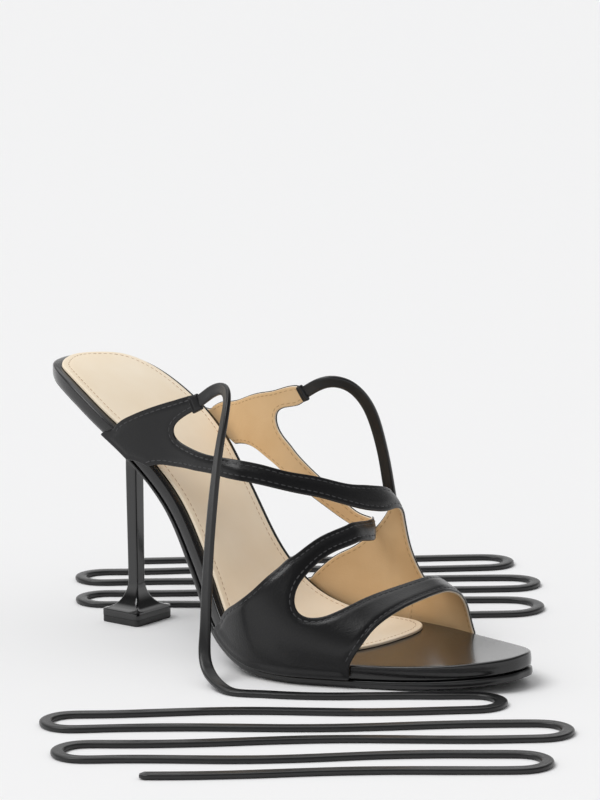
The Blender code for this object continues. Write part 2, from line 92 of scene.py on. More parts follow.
# Straps: x, turn round the last, bend (1 smooth, 0 corner).
LATERAL_QUARTER = (
    (44.0, -5.2, 0), (45.0, -2.6, 1), (49.6, 1.9, 1), (56.3, 6.8, 1),
    (64.7, 14.0, 1), (74.1, 23.6, 1), (81.9, 33.9, 0), (85.0, 33.4, 0),
    (80.2, 26.0, 1), (75.9, 19.5, 1), (73.3, 15.6, 1), (73.2, 13.6, 1),
    (75.0, 13.6, 1), (78.6, 15.6, 1), (84.9, 20.6, 0), (85.6, 16.1, 0),
    (75.5, 7.5, 1), (66.9, 2.2, 1), (60.2, -1.6, 1), (56.5, -5.2, 0),
)
LONG_STRAP = (
    (81.0, 17.2, 0), (91.5, 27.1, 1), (103.7, 41.9, 1), (111.0, 51.0, 1),
    (118.7, 61.2, 1), (124.5, 72.6, 1), (129.0, 83.8, 1), (131.2, 95.0, 1),
    (131.4, 106.0, 1), (130.6, 118.0, 1), (129.4, 128.0, 0), (130.0, 142.0, 0),
    (134.6, 130.0, 1), (135.8, 118.0, 1), (137.2, 106.0, 1), (138.0, 97.0, 1),
    (137.2, 90.5, 1), (133.2, 77.6, 1), (127.2, 64.5, 1), (121.7, 55.6, 1),
    (111.4, 43.4, 1), (95.3, 26.0, 1), (84.0, 14.6, 0),
)
MEDIAL_PANEL = (
    (130.4, 120.0, 0), (135.6, 120.0, 0), (134.6, 130.0, 1), (134.8, 142.0, 1),
    (136.4, 151.0, 1), (140.0, 158.0, 1), (145.0, 161.0, 0), (150.0, 172.0, 0),
    (150.0, 185.2, 0), (99.0, 185.2, 0), (98.6, 181.0, 1), (101.7, 177.6, 1),
    (107.3, 172.0, 1), (114.8, 165.3, 1), (121.4, 155.5, 1), (126.0, 144.5, 1),
    (128.9, 132.0, 1),
)
LATERAL_PANEL = (
    (104.0, -5.2, 0), (103.4, -1.2, 1), (107.5, 3.2, 1), (115.1, 8.8, 1),
    (122.4, 16.5, 1), (128.6, 28.0, 1), (132.3, 38.5, 0), (138.2, 38.0, 0),
    (137.6, 31.0, 1), (137.9, 24.6, 1), (140.0, 20.4, 1), (143.8, 20.3, 1),
    (148.2, 24.4, 0), (164.6, 19.0, 0), (162.8, 9.6, 1), (161.0, 3.0, 1),
    (160.0, -1.4, 1), (160.0, -5.2, 0),
)
TOE_BAND = (
    (143.8, 20.3, 0), (148.2, 24.4, 1), (153.2, 36.4, 1), (157.1, 53.5, 1),
    (159.4, 66.0, 1), (160.9, 80.0, 1), (161.2, 95.0, 1), (159.6, 112.0, 1),
    (156.0, 130.0, 1), (152.2, 146.0, 1), (149.0, 156.0, 1), (144.0, 164.0, 1),
    (137.0, 171.0, 0), (134.0, 185.2, 0), (168.4, 185.2, 0), (168.0, 179.0, 1),
    (167.2, 170.0, 1), (166.8, 158.0, 1), (167.6, 143.0, 1), (169.4, 126.0, 1),
    (170.8, 108.0, 1), (171.2, 90.0, 1), (170.4, 70.0, 1), (168.3, 49.4, 1),
    (166.2, 33.8, 1), (164.4, 19.0, 0),
)
INSTEP_STRAP = (
    (130.0, 34.0, 0), (132.3, 38.5, 1), (134.0, 46.9, 1), (135.3, 55.5, 1),
    (136.8, 65.6, 1), (137.6, 75.0, 1), (136.6, 86.0, 1), (134.0, 98.0, 1),
    (130.6, 112.0, 1), (127.4, 126.0, 1), (123.6, 139.0, 1), (118.5, 148.2, 1),
    (110.0, 152.6, 1), (100.0, 154.2, 1), (91.5, 155.4, 0), (88.0, 165.8, 0),
    (99.9, 162.4, 1), (111.2, 159.8, 1), (120.2, 154.6, 1), (127.6, 143.0, 1),
    (132.2, 128.0, 1), (136.2, 112.0, 1), (139.8, 98.0, 1), (142.0, 86.0, 1),
    (142.6, 76.0, 1), (142.0, 67.0, 1), (140.8, 58.8, 1),
    (139.4, 47.7, 1), (138.2, 36.0, 0),
)
MEDIAL_QUARTER = (
    (42.4, 185.2, 0), (44.4, 182.4, 1), (52.0, 177.6, 1), (66.2, 168.1, 1),
    (84.1, 147.6, 1), (97.6, 122.8, 0), (99.9, 125.8, 0), (95.4, 137.0, 1),
    (90.4, 144.8, 1), (86.6, 151.2, 1), (86.2, 155.0, 1), (88.4, 156.0, 1),
    (93.0, 154.6, 0), (93.0, 164.4, 0), (86.3, 167.2, 1), (79.9, 170.8, 1),
    (72.2, 174.8, 1), (65.2, 178.8, 1), (59.0, 181.8, 1), (54.0, 185.2, 0),
)

STEM_SIDE, STEM_TOP_SIDE, STEM_TOP_Z = 4.7, 5.2, 63.0
FLARE_TOP_Z, FLARE_EDGE_Z, TIP_THICK = 15.4, 5.0, 2.6
BASE_LONG, BASE_WIDE = 17.9, 20.8
HEEL_X, HEEL_Y, BREAST_X = 31.1, 1.4, 45.0

# Ties: the same rows as the solids' route, with a start inside the tabs.
FLOOR_ORIGIN = (100.0, -20.0)
FLOOR_ANGLE = 38.83
TIE_WIDE, TIE_THICK, TIE_LENGTH, TIE_FLOOR = 4.5, 1.9, 1100.0, 1.6
LANE_STEP = 12.0
TIE_LATERAL_FALL = (
    (80.3, -23.4, 92.5), (83.6, -22.2, 94.6),
    (89.0, -21.8, 98.6), (95.0, -23.0, 100.6),
    (101.0, -27.5, 99.0), (104.6, -33.6, 92.0), (106.0, -39.0, 80.0),
    (106.6, -43.4, 62.0), (107.2, -47.0, 42.0), (109.0, -51.0, 22.0),
    (114.0, -57.0, 7.0),
)
TIE_LATERAL_LANDING = (-4.0, 52.0)
TIE_LATERAL_LANES = (
    (61.0, 82.0, 1.0), (79.5, -58.0, 2.6), (98.0, 102.0, -2.4),
    (116.5, -52.0, 2.4), (135.0, 92.0, -2.6), (153.5, -60.0, 2.0),
)
TIE_MEDIAL_FALL = (
    (95.1, 20.4, 91.3), (99.0, 20.5, 93.0),
    (104.4, 21.4, 96.4), (110.0, 24.0, 98.0),
    (115.0, 29.5, 95.0), (118.0, 36.0, 86.0), (119.4, 41.6, 70.0),
    (120.2, 46.0, 50.0), (121.6, 50.6, 29.0), (125.0, 56.5, 11.0),
)
TIE_MEDIAL_LANDING = (78.0, -55.0)
TIE_MEDIAL_LANES = (
    (-57.0, 104.0, 0.0), (-80.0, -54.0, -2.6), (-98.5, 108.0, 2.8),
    (-117.0, -56.0, -2.4), (-135.5, 100.0, 3.0), (-154.0, -60.0, -2.0),
)
# Tab ends: middle of the end, the way out, along the end, and the outer normal.
TAB_LATERAL = ((83.45, -22.64, 94.55), (0.80, 0.34, 0.47), (-0.54, 0.12, 0.82),
               (0.23, -0.93, 0.28))
TAB_MEDIAL = ((98.75, 20.9, 93.08), (0.92, -0.06, 0.39), (-0.39, -0.27, 0.88),
              (-0.05, 0.96, 0.27))


def row(p):
    """Millimetres in the shoe's own frame to metres in the row's frame."""
    return (np.asarray(p, float) - ORIGIN) * 0.001


# ---------------------------------------------------------------- curves
def smooth_through(xs, ys):
    xs, ys = np.asarray(xs, float), np.asarray(ys, float)
    h, d = np.diff(xs), np.diff(ys) / np.diff(xs)
    m = np.r_[d[0], np.zeros(len(xs) - 2), d[-1]]
    for i in range(1, len(xs) - 1):
        if d[i - 1] * d[i] > 0:
            a, b = 2 * h[i] + h[i - 1], h[i] + 2 * h[i - 1]
            m[i] = (a + b) / (a / d[i - 1] + b / d[i])

    def value(x):
        x = np.clip(np.asarray(x, float), xs[0], xs[-1])
        i = np.clip(np.searchsorted(xs, x, "right") - 1, 0, len(xs) - 2)
        t = (x - xs[i]) / h[i]
        return ((1 + 2 * t) * (1 - t) ** 2 * ys[i] + t * (1 - t) ** 2 * h[i] * m[i]
                + t * t * (3 - 2 * t) * ys[i + 1] + t * t * (t - 1) * h[i] * m[i + 1])

    return value


def softened(function, low, high, keep_low, keep_high, spread=3.5):
    """The same curve with its small kinks averaged out, but for its ends."""
    xs = np.arange(low, high + 1e-6, 0.25)
    ys = function(xs)
    k = np.arange(-60, 61) * 0.25
    w = np.exp(-(k / spread) ** 2 / 2)
    w /= w.sum()
    padded = np.r_[2 * ys[0] - ys[60:0:-1], ys, 2 * ys[-1] - ys[-2:-62:-1]]
    soft = np.convolve(padded, w, "valid")
    blend = np.clip((xs - keep_low) / 12, 0, 1) * np.clip((keep_high - xs) / 12, 0, 1)
    ys = ys + (soft - ys) * blend
    return lambda x: np.interp(np.clip(x, low, high), xs, ys)


board_top = softened(smooth_through(BOARD[:, 0], BOARD[:, 1]), 0, SHOE_LENGTH, -20, 230)
board_lateral = softened(smooth_through(BOARD[:, 0], BOARD[:, 2]), 0, SHOE_LENGTH, 6, 200)
board_medial = softened(smooth_through(BOARD[:, 0], BOARD[:, 3]), 0, SHOE_LENGTH, 6, 200)
ridge_top = softened(smooth_through(RIDGE[:, 0], RIDGE[:, 1]), 20, 190, -20, 230)
ridge_side = softened(smooth_through(RIDGE[:, 0], RIDGE[:, 2]), 20, 190, -20, 230)


def board_normal(x):
    s = (board_top(x + 1.0) - board_top(x - 1.0)) / (
        np.minimum(x + 1.0, SHOE_LENGTH) - np.maximum(x - 1.0, 0.0))
    k = np.hypot(1.0, s)
    return -s / k, 1.0 / k


def ease(t):
    t = np.clip(t, 0.0, 1.0)
    return t * t * (3 - 2 * t)


def last_point(x, turn):
    """Outer face of the upper, in mm."""
    x, turn = np.asarray(x, float), np.asarray(turn, float)
    lateral = board_lateral(x) - STRAP_GAP - WALL
    medial = board_medial(x) + STRAP_GAP + WALL
    base = board_top(x)
    centre, half = (lateral + medial) / 2, (medial - lateral) / 2
    a = np.radians(np.clip(turn, 0, 180))
    c, s = np.cos(a), np.sin(a)
    power = SECTION_POWER + (TOE_POWER - SECTION_POWER) * (
        ease((x - 138.0) / 20.0) * ease((turn - 60.0) / 55.0))
    y = centre - half * np.sign(c) * np.abs(c) ** power
    y = y + (ridge_side(x) - centre) * s * s
    z = base + (ridge_top(x) - base) * np.abs(s) ** power
    drop = np.maximum(0, np.maximum(-turn, turn - 180))
    nx, nz = board_normal(x)
    return np.stack([x - drop * nx, y, z - drop * nz], -1)


# Length round a middle section, so that steps in (x, round) are even on the last.
_turns = np.r_[np.arange(-8, 0, 0.25), np.arange(0, 180, 0.25), np.arange(180, 188.1, 0.25)]
_section = last_point(np.full(len(_turns), 118.0), _turns)
_round = np.r_[0, np.cumsum(np.linalg.norm(np.diff(_section[:, 1:], axis=0), axis=1))]
_round -= np.interp(0.0, _turns, _round)
LATERAL_EDGE, MEDIAL_EDGE = 0.0, float(np.interp(180.0, _turns, _round))


def to_round(turn):
    return np.interp(turn, _turns, _round)


def to_turn(around):
    return np.interp(around, _round, _turns)


def last_at(q):
    q = np.asarray(q, float)
    return last_point(q[:, 0], to_turn(q[:, 1]))


def frame_at(surface, q, e=0.15):
    """Points, unit normals and the two tangents of a surface."""
    q = np.asarray(q, float)
    p = surface(q)
    du = (surface(q + [e, 0]) - surface(q - [e, 0])) / (2 * e)
    dv = (surface(q + [0, e]) - surface(q - [0, e])) / (2 * e)
    n = np.cross(du, dv)
    n /= np.maximum(np.linalg.norm(n, axis=1), 1e-9)[:, None]
    return p, n, du, dv


# ---------------------------------------------------------------- outlines
def curve_between(p0, p1, p2, p3, t):
    return 0.5 * ((2 * p1) + (p2 - p0) * t + (2 * p0 - 5 * p1 + 4 * p2 - p3) * t * t
                  + (3 * p1 - p0 - 3 * p2 + p3) * t ** 3)


def outline_of(table, step=0.9):
    rows = [(np.array((r[0], r[1] * TURN_MM)), r[2]) for r in table]
    n, out = len(rows), []
    for i in range(n):
        (a, bend_a), (b, bend_b) = rows[i], rows[(i + 1) % n]
        before = rows[i - 1][0] if bend_a else a
        after = rows[(i + 2) % n][0] if bend_b else b
        count = max(1, round(float(np.linalg.norm(b - a)) / step))
        out += [curve_between(before, a, b, after, k / count) for k in range(count)]
    out = np.array(out)
    return np.stack([out[:, 0], to_round(out[:, 1] / TURN_MM)], -1)


def inside(points, loop):
    hit = np.zeros(len(points), bool)
    a, b = np.roll(loop, 1, axis=0), loop
    for (ax, ay), (bx, by) in zip(a, b):
        if ay == by:
            continue
        cross = ((ay > points[:, 1]) != (by > points[:, 1])) & (
            points[:, 0] < ax + (points[:, 1] - ay) / (by - ay) * (bx - ax))
        hit ^= cross
    return hit


def triangulate(points, edges):
    verts, _, faces, *_ = delaunay_2d_cdt(
        [Vector(p) for p in points.tolist()], edges, [], 0, 1e-6)
    return np.array([tuple(v) for v in verts]), np.array([tuple(f) for f in faces])


def filled(points, edges, loops, any_of=True):
    """Triangles inside any of the loops, or inside an odd number of them."""
    verts, faces = triangulate(points, edges)
    t = verts[faces]
    area = np.abs((t[:, 1, 0] - t[:, 0, 0]) * (t[:, 2, 1] - t[:, 0, 1])
                  - (t[:, 1, 1] - t[:, 0, 1]) * (t[:, 2, 0] - t[:, 0, 0]))
    middle = t.mean(1)
    hits = np.array([inside(middle, loop) for loop in loops])
    keep = hits.any(0) if any_of else hits.sum(0) % 2 == 1
    return verts, faces[keep & (area > 2e-4)]


def loop_edges(loops):
    edges, first = [], 0
    for loop in loops:
        n = len(loop)
        edges += [(first + i, first + (i + 1) % n) for i in range(n)]
        first += n
    return edges


def rims(faces):
    """The closed loops of a sheet's open edges, each as a list of points."""
    follow = {}
    seen = {(int(f[i]), int(f[(i + 1) % 3])) for f in faces for i in range(3)}
    for a, b in seen:
        if (b, a) not in seen:
            follow.setdefault(a, []).append(b)
    out = []
    while follow:
        start = min(follow)
        loop, at = [start], start
        while True:
            nxt = follow[at].pop()
            if not follow[at]:
                del follow[at]
            if nxt == start:
                break
            loop.append(nxt)
            at = nxt
            if at not in follow:
                break
        if len(loop) > 8:
            out.append(loop)
    return out


def evened(loop, surface, step, soften):
    """A closed outline at even steps along the surface, its corners eased."""
    ring = np.vstack([loop, loop[:1]])
    p = surface(ring)
    run = np.r_[0, np.cumsum(np.linalg.norm(np.diff(p, axis=0), axis=1))]
    n = max(12, int(run[-1] / step))
    s = np.arange(n) * run[-1] / n
    out = np.stack([np.interp(s, run, ring[:, 0]), np.interp(s, run, ring[:, 1])], -1)
    if soften > 0:
        half = int(3 * soften / step) + 1
        w = np.exp(-((np.arange(-half, half + 1) * step / soften) ** 2) / 2)
        w /= w.sum()
        padded = np.vstack([out[-half:], out, out[:half]])
        out = np.stack([np.convolve(padded[:, k], w, "valid") for k in (0, 1)], -1)
    return out


def joined(tables, surface, step=0.7, soften=2.0):
    """The outlines of several overlapping cut pieces as one sheet."""
    loops = [outline_of(t) for t in tables]
    verts, faces = filled(np.vstack(loops), loop_edges(loops), loops)
    a = verts[faces]
    turn = ((a[:, 1, 0] - a[:, 0, 0]) * (a[:, 2, 1] - a[:, 0, 1])
            - (a[:, 1, 1] - a[:, 0, 1]) * (a[:, 2, 0] - a[:, 0, 0]))
    faces = np.where((turn > 0)[:, None], faces, faces[:, ::-1])
    corners = np.vstack([surface(np.array(
        [(r[0], float(to_round(r[1]))) for r in t if r[2] == 0 and held(r)] or [(0.0, 0.0)]))
        for t in tables])
    out = []
    for ring in rims(faces):
        sharp = evened(verts[ring], surface, step, 0.5)
        mild = evened(verts[ring], surface, step, soften)
        d = np.linalg.norm(surface(sharp)[:, None] - corners[None], axis=2).min(1)
        edge = np.minimum(sharp[:, 1] - LATERAL_EDGE, MEDIAL_EDGE - sharp[:, 1])
        keep = np.maximum(1 - ease((d - 2.5) / 5.0), 1 - ease((edge - 1.0) / 4.0))[:, None]
        out.append(sharp * keep + mild * (1 - keep))
    return out


def held(r):
    """Corners that stay: the ends of the two tabs."""
    return (r[0], r[1]) in ((81.9, 33.9), (85.0, 33.4), (97.6, 122.8), (99.9, 125.8))


def inward(loop, surface, distance):
    """The outline moved by a true distance into the sheet, on its left side."""
    p, n, du, dv = frame_at(surface, loop)
    ahead = np.roll(p, -1, axis=0) - np.roll(p, 1, axis=0)
    ahead /= np.maximum(np.linalg.norm(ahead, axis=1), 1e-9)[:, None]
    side = np.cross(n, ahead)
    a, b, c = (du * du).sum(1), (du * dv).sum(1), (dv * dv).sum(1)
    r, s = (side * du).sum(1), (side * dv).sum(1)
    det = np.maximum(a * c - b * b, 1e-9)
    move = np.stack([(c * r - b * s) / det, (a * s - b * r) / det], -1)
    return loop + move * distance


# ---------------------------------------------------------------- meshes
def new_piece(name, points, faces, materials, picks=None, smooth=60):
    mesh = bpy.data.meshes.new(name)
    mesh.from_pydata([tuple(p) for p in points], [], faces)
    for m in materials:
        mesh.materials.append(m)
    if picks is not None:
        mesh.polygons.foreach_set("material_index", np.asarray(picks, np.int32))
    mesh.validate()
    mesh.shade_smooth()
    mesh.set_sharp_from_angle(angle=math.radians(smooth))
    obj = bpy.data.objects.new(name, mesh)
    bpy.context.scene.collection.objects.link(obj)
    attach(obj, "root")
    return obj


def slab(name, loops, surface, profile, picks, materials, field_step, lift=None,
         top_pick=0, bottom_pick=1, smooth=60, relief=None):
    """A sheet of real thickness over a surface: loops run with the sheet on
    their left, profile rows are (inset, depth), and picks are the materials
    between one profile row and the next. lift(q) raises the sheet."""
    inset = profile[0][0]
    inner = [inward(loop, surface, inset) for loop in loops]
    low = np.vstack(inner).min(0)
    high = np.vstack(inner).max(0)
    xs = np.arange(low[0], high[0], field_step)
    ys = np.arange(low[1], high[1], field_step * 0.866)
    grid = np.array([(x + (k % 2) * field_step / 2, y)
                     for k, y in enumerate(ys) for x in xs])
    hits = np.array([inside(grid, loop) for loop in inner])
    grid = grid[hits.sum(0) % 2 == 1]
    ring_all = np.vstack(inner)
    tree = KDTree(len(ring_all))
    for i, p in enumerate(ring_all):
        tree.insert((p[0], p[1], 0.0), i)
    tree.balance()
    far = np.array([tree.find((p[0], p[1], 0.0))[2] for p in grid]) if len(grid) else []
    grid = grid[np.asarray(far) > 0.6 * field_step] if len(grid) else grid
    flat = np.vstack([ring_all, grid]) if len(grid) else ring_all
    verts, faces = filled(flat, loop_edges(inner), inner, any_of=False)
    a = verts[faces]
    turn = ((a[:, 1, 0] - a[:, 0, 0]) * (a[:, 2, 1] - a[:, 0, 1])
            - (a[:, 1, 1] - a[:, 0, 1]) * (a[:, 2, 0] - a[:, 0, 0]))
    faces = np.where((turn > 0)[:, None], faces, faces[:, ::-1])

    def placed(q, depth, source=None):
        p, n, _, _ = frame_at(surface, q if source is None else source)
        up = lift(q) if lift is not None else 0.0
        if source is not None:
            p = surface(q)
        return row(p + n * (np.asarray(up) - depth)[:, None]
                   if np.ndim(up) else p + n * (up - depth))

    top = placed(verts, profile[0][1])
    if relief is not None:
        _, normals, _, _ = frame_at(surface, verts)
        top = top + normals * relief(verts)[:, None] * 0.001
    points = [top, placed(verts, profile[-1][1])]
    n = len(verts)
    all_faces = [tuple(f) for f in faces] + [tuple(int(k) + n for k in f[::-1]) for f in faces]
    chosen = [top_pick] * len(faces) + [bottom_pick] * len(faces)
    # The rings of the edge, joined to the sheet's own edge points.
    look = KDTree(n)
    for i, p in enumerate(verts):
        look.insert((p[0], p[1], 0.0), i)
    look.balance()
    count = 2 * n
    for loop, ring in zip(loops, inner):
        m = len(loop)
        first = [look.find((p[0], p[1], 0.0))[1] for p in ring]
        before = first
        for k in range(1, len(profile)):
            if k == len(profile) - 1:
                now = [i + n for i in first]
            else:
                q = inward(loop, surface, profile[k][0])
                points.append(placed(q, profile[k][1], loop))
                now = list(range(count, count + m))
                count += m
            for i in range(m):
                j = (i + 1) % m
                all_faces.append((before[j], before[i], now[i], now[j]))
                chosen.append(picks[k - 1])
            before = now
    return new_piece(name, np.vstack(points), all_faces, materials, chosen, smooth)


# ---------------------------------------------------------------- materials
def shader(name):
    mat = bpy.data.materials.new(name)
    mat.use_nodes = True
    nodes, links = mat.node_tree.nodes, mat.node_tree.links
    return mat, nodes, links, nodes["Principled BSDF"]


def node(nodes, kind, **values):
    made = nodes.new(kind)
    for key, value in values.items():
        if key in made.inputs:
            made.inputs[key].default_value = value
        else:
            setattr(made, key, value)
    return made


def leather(name, dark, light, rough, grain, bump, coat=0.0, coat_rough=0.25,
            specular=0.5, crease=0.0, sheen=0.0):
    """Leather: pebble grain and pores in the bump, slow colour and gloss drift."""
    mat, nodes, links, bsdf = shader(name)
    where = node(nodes, "ShaderNodeTexCoord")
    drift = node(nodes, "ShaderNodeTexNoise", Scale=38.0, Detail=3.0, Roughness=0.55)
    pebble = node(nodes, "ShaderNodeTexVoronoi", Scale=grain)
    pores = node(nodes, "ShaderNodeTexNoise", Scale=grain * 2.2, Detail=4.0, Roughness=0.6)
    for t in (drift, pebble, pores):
        links.new(where.outputs["Object"], t.inputs["Vector"])
    ramp = node(nodes, "ShaderNodeValToRGB")
    ramp.color_ramp.elements[0].position = 0.32
    ramp.color_ramp.elements[0].color = (*dark, 1)
    ramp.color_ramp.elements[1].position = 0.68
    ramp.color_ramp.elements[1].color = (*light, 1)
    links.new(drift.outputs["Fac"], ramp.inputs["Fac"])
    links.new(ramp.outputs["Color"], bsdf.inputs["Base Color"])
    spread = node(nodes, "ShaderNodeMapRange")
    spread.inputs["To Min"].default_value = rough - 0.05
    spread.inputs["To Max"].default_value = rough + 0.07
    links.new(pores.outputs["Fac"], spread.inputs["Value"])
    links.new(spread.outputs["Result"], bsdf.inputs["Roughness"])
    mixed = node(nodes, "ShaderNodeMath", operation="MULTIPLY_ADD")
    links.new(pebble.outputs["Distance"], mixed.inputs[0])
    mixed.inputs[1].default_value = 0.7
    links.new(pores.outputs["Fac"], mixed.inputs[2])
    raised = node(nodes, "ShaderNodeBump")
    raised.inputs["Strength"].default_value = bump
    raised.inputs["Distance"].default_value = 0.00012
    links.new(mixed.outputs[0], raised.inputs["Height"])
    if crease:
        fold = node(nodes, "ShaderNodeTexNoise", Scale=210.0, Detail=2.0, Roughness=0.5,
                    Distortion=0.6)
        links.new(where.outputs["Object"], fold.inputs["Vector"])
        soft = node(nodes, "ShaderNodeBump")
        soft.inputs["Strength"].default_value = crease
        soft.inputs["Distance"].default_value = 0.0005
        links.new(fold.outputs["Fac"], soft.inputs["Height"])
        links.new(soft.outputs["Normal"], raised.inputs["Normal"])
    links.new(raised.outputs["Normal"], bsdf.inputs["Normal"])
    bsdf.inputs["Specular IOR Level"].default_value = specular
    bsdf.inputs["Coat Weight"].default_value = coat
    bsdf.inputs["Coat Roughness"].default_value = coat_rough
    bsdf.inputs["Sheen Weight"].default_value = sheen
    return mat


BLACK = leather("black_nappa", (0.0030, 0.0030, 0.0036), (0.0054, 0.0054, 0.0062), 0.34,
                1500.0, 0.42, coat=0.22, coat_rough=0.20, specular=0.32, crease=0.14)
WRAP = leather("black_wrap", (0.0030, 0.0029, 0.0032), (0.0054, 0.0052, 0.0056), 0.25,
               1500.0, 0.22, coat=0.40, coat_rough=0.13, specular=0.42, crease=0.04)
EDGE = leather("black_edge_paint", (0.005, 0.005, 0.0055), (0.009, 0.009, 0.009), 0.5,
               1200.0, 0.25, specular=0.4)
RAW = leather("raw_lining_edge", (0.80, 0.66, 0.50), (0.90, 0.78, 0.62), 0.7,
              1300.0, 0.30, specular=0.3)
LINING = leather("beige_lining", (0.70, 0.465, 0.235), (0.80, 0.570, 0.325), 0.58,
                 1300.0, 0.30, specular=0.35, crease=0.12)
SOCKING = leather("beige_sock", (0.93, 0.790, 0.600), (0.97, 0.850, 0.680), 0.55,
                  1300.0, 0.22, specular=0.35, crease=0.05)
SOLE = leather("black_sole", (0.0040, 0.0040, 0.0044), (0.0070, 0.0070, 0.0076), 0.30,
               900.0, 0.16, coat=0.25, coat_rough=0.22, specular=0.5)
THREAD = leather("black_thread", (0.022, 0.022, 0.024), (0.045, 0.045, 0.048), 0.42,
                 2600.0, 0.4, specular=0.5)
TAN_THREAD = leather("tan_thread", (0.42, 0.25, 0.12), (0.55, 0.35, 0.18), 0.6,
                     2600.0, 0.4, specular=0.4)


def lacquer():
    mat, nodes, links, bsdf = shader("heel_lacquer")
    where = node(nodes, "ShaderNodeTexCoord")
    ripple = node(nodes, "ShaderNodeTexNoise", Scale=60.0, Detail=2.0)
    fine = node(nodes, "ShaderNodeTexNoise", Scale=700.0, Detail=3.0)
    for t in (ripple, fine):
        links.new(where.outputs["Object"], t.inputs["Vector"])
    ramp = node(nodes, "ShaderNodeValToRGB")
    ramp.color_ramp.elements[0].color = (0.0022, 0.0022, 0.0024, 1)
    ramp.color_ramp.elements[1].color = (0.0040, 0.0040, 0.0043, 1)
    links.new(ripple.outputs["Fac"], ramp.inputs["Fac"])
    links.new(ramp.outputs["Color"], bsdf.inputs["Base Color"])
    spread = node(nodes, "ShaderNodeMapRange")
    spread.inputs["To Min"].default_value = 0.12
    spread.inputs["To Max"].default_value = 0.19
    links.new(fine.outputs["Fac"], spread.inputs["Value"])
    links.new(spread.outputs["Result"], bsdf.inputs["Roughness"])
    raised = node(nodes, "ShaderNodeBump")
    raised.inputs["Strength"].default_value = 0.06
    raised.inputs["Distance"].default_value = 0.0003
    links.new(ripple.outputs["Fac"], raised.inputs["Height"])
    links.new(raised.outputs["Normal"], bsdf.inputs["Normal"])
    bsdf.inputs["Coat Weight"].default_value = 0.6
    bsdf.inputs["Coat Roughness"].default_value = 0.06
    return mat


LACQUER = lacquer()


def rubber():
    mat, nodes, links, bsdf = shader("top_lift_rubber")
    where = node(nodes, "ShaderNodeTexCoord")
    fine = node(nodes, "ShaderNodeTexNoise", Scale=1600.0, Detail=3.0)
    links.new(where.outputs["Object"], fine.inputs["Vector"])
    ramp = node(nodes, "ShaderNodeValToRGB")
    ramp.color_ramp.elements[0].color = (0.008, 0.008, 0.008, 1)
    ramp.color_ramp.elements[1].color = (0.014, 0.014, 0.014, 1)
    links.new(fine.outputs["Fac"], ramp.inputs["Fac"])
    links.new(ramp.outputs["Color"], bsdf.inputs["Base Color"])
    bsdf.inputs["Roughness"].default_value = 0.45
    raised = node(nodes, "ShaderNodeBump")
    raised.inputs["Strength"].default_value = 0.2
    raised.inputs["Distance"].default_value = 0.0001
    links.new(fine.outputs["Fac"], raised.inputs["Height"])
    links.new(raised.outputs["Normal"], bsdf.inputs["Normal"])
    return mat


RUBBER = rubber()


# ---------------------------------------------------------------- plates
def plan_loop(low, high, step=0.8):
    """Outline of a plate from its lateral and medial edge functions, counter
    clockwise seen from above, its points closer together towards the two ends."""
    k = np.linspace(0, math.pi, 400)
    xs = low[1] + (high[1] - low[1]) * (1 - np.cos(k)) / 2
    ring = np.vstack([np.stack([xs, low[0](xs)], -1),
                      np.stack([xs[::-1], high[0](xs[::-1])], -1)])
    d = np.r_[True, np.linalg.norm(np.diff(ring, axis=0), axis=1) > 1e-4]
    return ring[d]


def board_surface(depth):
    def surface(q):
        q = np.asarray(q, float)
        nx, nz = board_normal(q[:, 0])
        return np.stack([q[:, 0] - depth * nx, q[:, 1],
                         board_top(q[:, 0]) - depth * nz], -1)
    return surface


board_loop = evened(plan_loop((board_lateral, 0.2), (board_medial, SHOE_LENGTH - 0.2)),
                    board_surface(0), 1.0, 1.6)
wrap_profile = ((1.2, 0.0), (0.72, 0.03), (0.40, 0.12), (0.18, 0.29), (0.06, 0.52),
                (0.0, 0.85), (0.10, 2.9), (0.30, 4.1), (0.55, 4.85), (1.0, 5.25),
                (1.7, 5.4))
board = slab("insole_board_wrap", [board_loop], board_surface(0), wrap_profile,
             [0] * 10, [WRAP], 3.0, bottom_pick=0)
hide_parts("insole_board")

SOCK_INSET, SOCK_END = 3.2, 152.0


def sock_half(x, sign):
    back = np.maximum(0.0, x - 3.4)
    lateral = board_lateral(x) + SOCK_INSET
    medial = board_medial(x) - SOCK_INSET
    long, power = (27.0, 2.1) if sign < 0 else (16.0, 3.0)
    t = np.clip((x - SOCK_END + long) / long, 0, 1)
    closing = (1 - t ** power) ** (1 / power)
    opening = np.sqrt(np.clip(1 - (np.clip(9 - back, 0, 9) / 9) ** 2, 0, 1))
    middle = (lateral + medial) / 2 + 6.0 * ease((x - SOCK_END + 27.0) / 27.0)
    side = lateral if sign < 0 else medial
    return middle + (side - middle) * np.minimum(closing, opening)


sock_loop = evened(plan_loop((lambda x: sock_half(x, -1), 3.5),
                             (lambda x: sock_half(x, 1), SOCK_END - 0.05)),
                   board_surface(0), 0.9, 0.8)
sock_surface = board_surface(-(GAP + SOCK_THICK))
SEAM_IN = 2.5


def seam_dip(loop, surface, reach, depth):
    """A shallow groove where a line of stitches pulls the leather down."""
    line = inward(loop, surface, reach)
    p = surface(line)
    tree = KDTree(len(p))
    for i, v in enumerate(p):
        tree.insert(v, i)
    tree.balance()

    def lift(q):
        d = np.array([tree.find(v)[2] for v in surface(np.asarray(q, float))])
        return -depth * np.exp(-(d / 0.45) ** 2)
    return lift


sock_profile = ((0.5, 0.0), (0.22, 0.05), (0.05, 0.2), (0.0, 0.45), (0.0, 0.98),
                (0.5, 0.98))
sock = slab("insole_sock_leather", [sock_loop], sock_surface, sock_profile,
            [0] * 5, [SOCKING], 0.8, lift=seam_dip(sock_loop, sock_surface, SEAM_IN, 0.16),
            bottom_pick=0)
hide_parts("insole_sock")

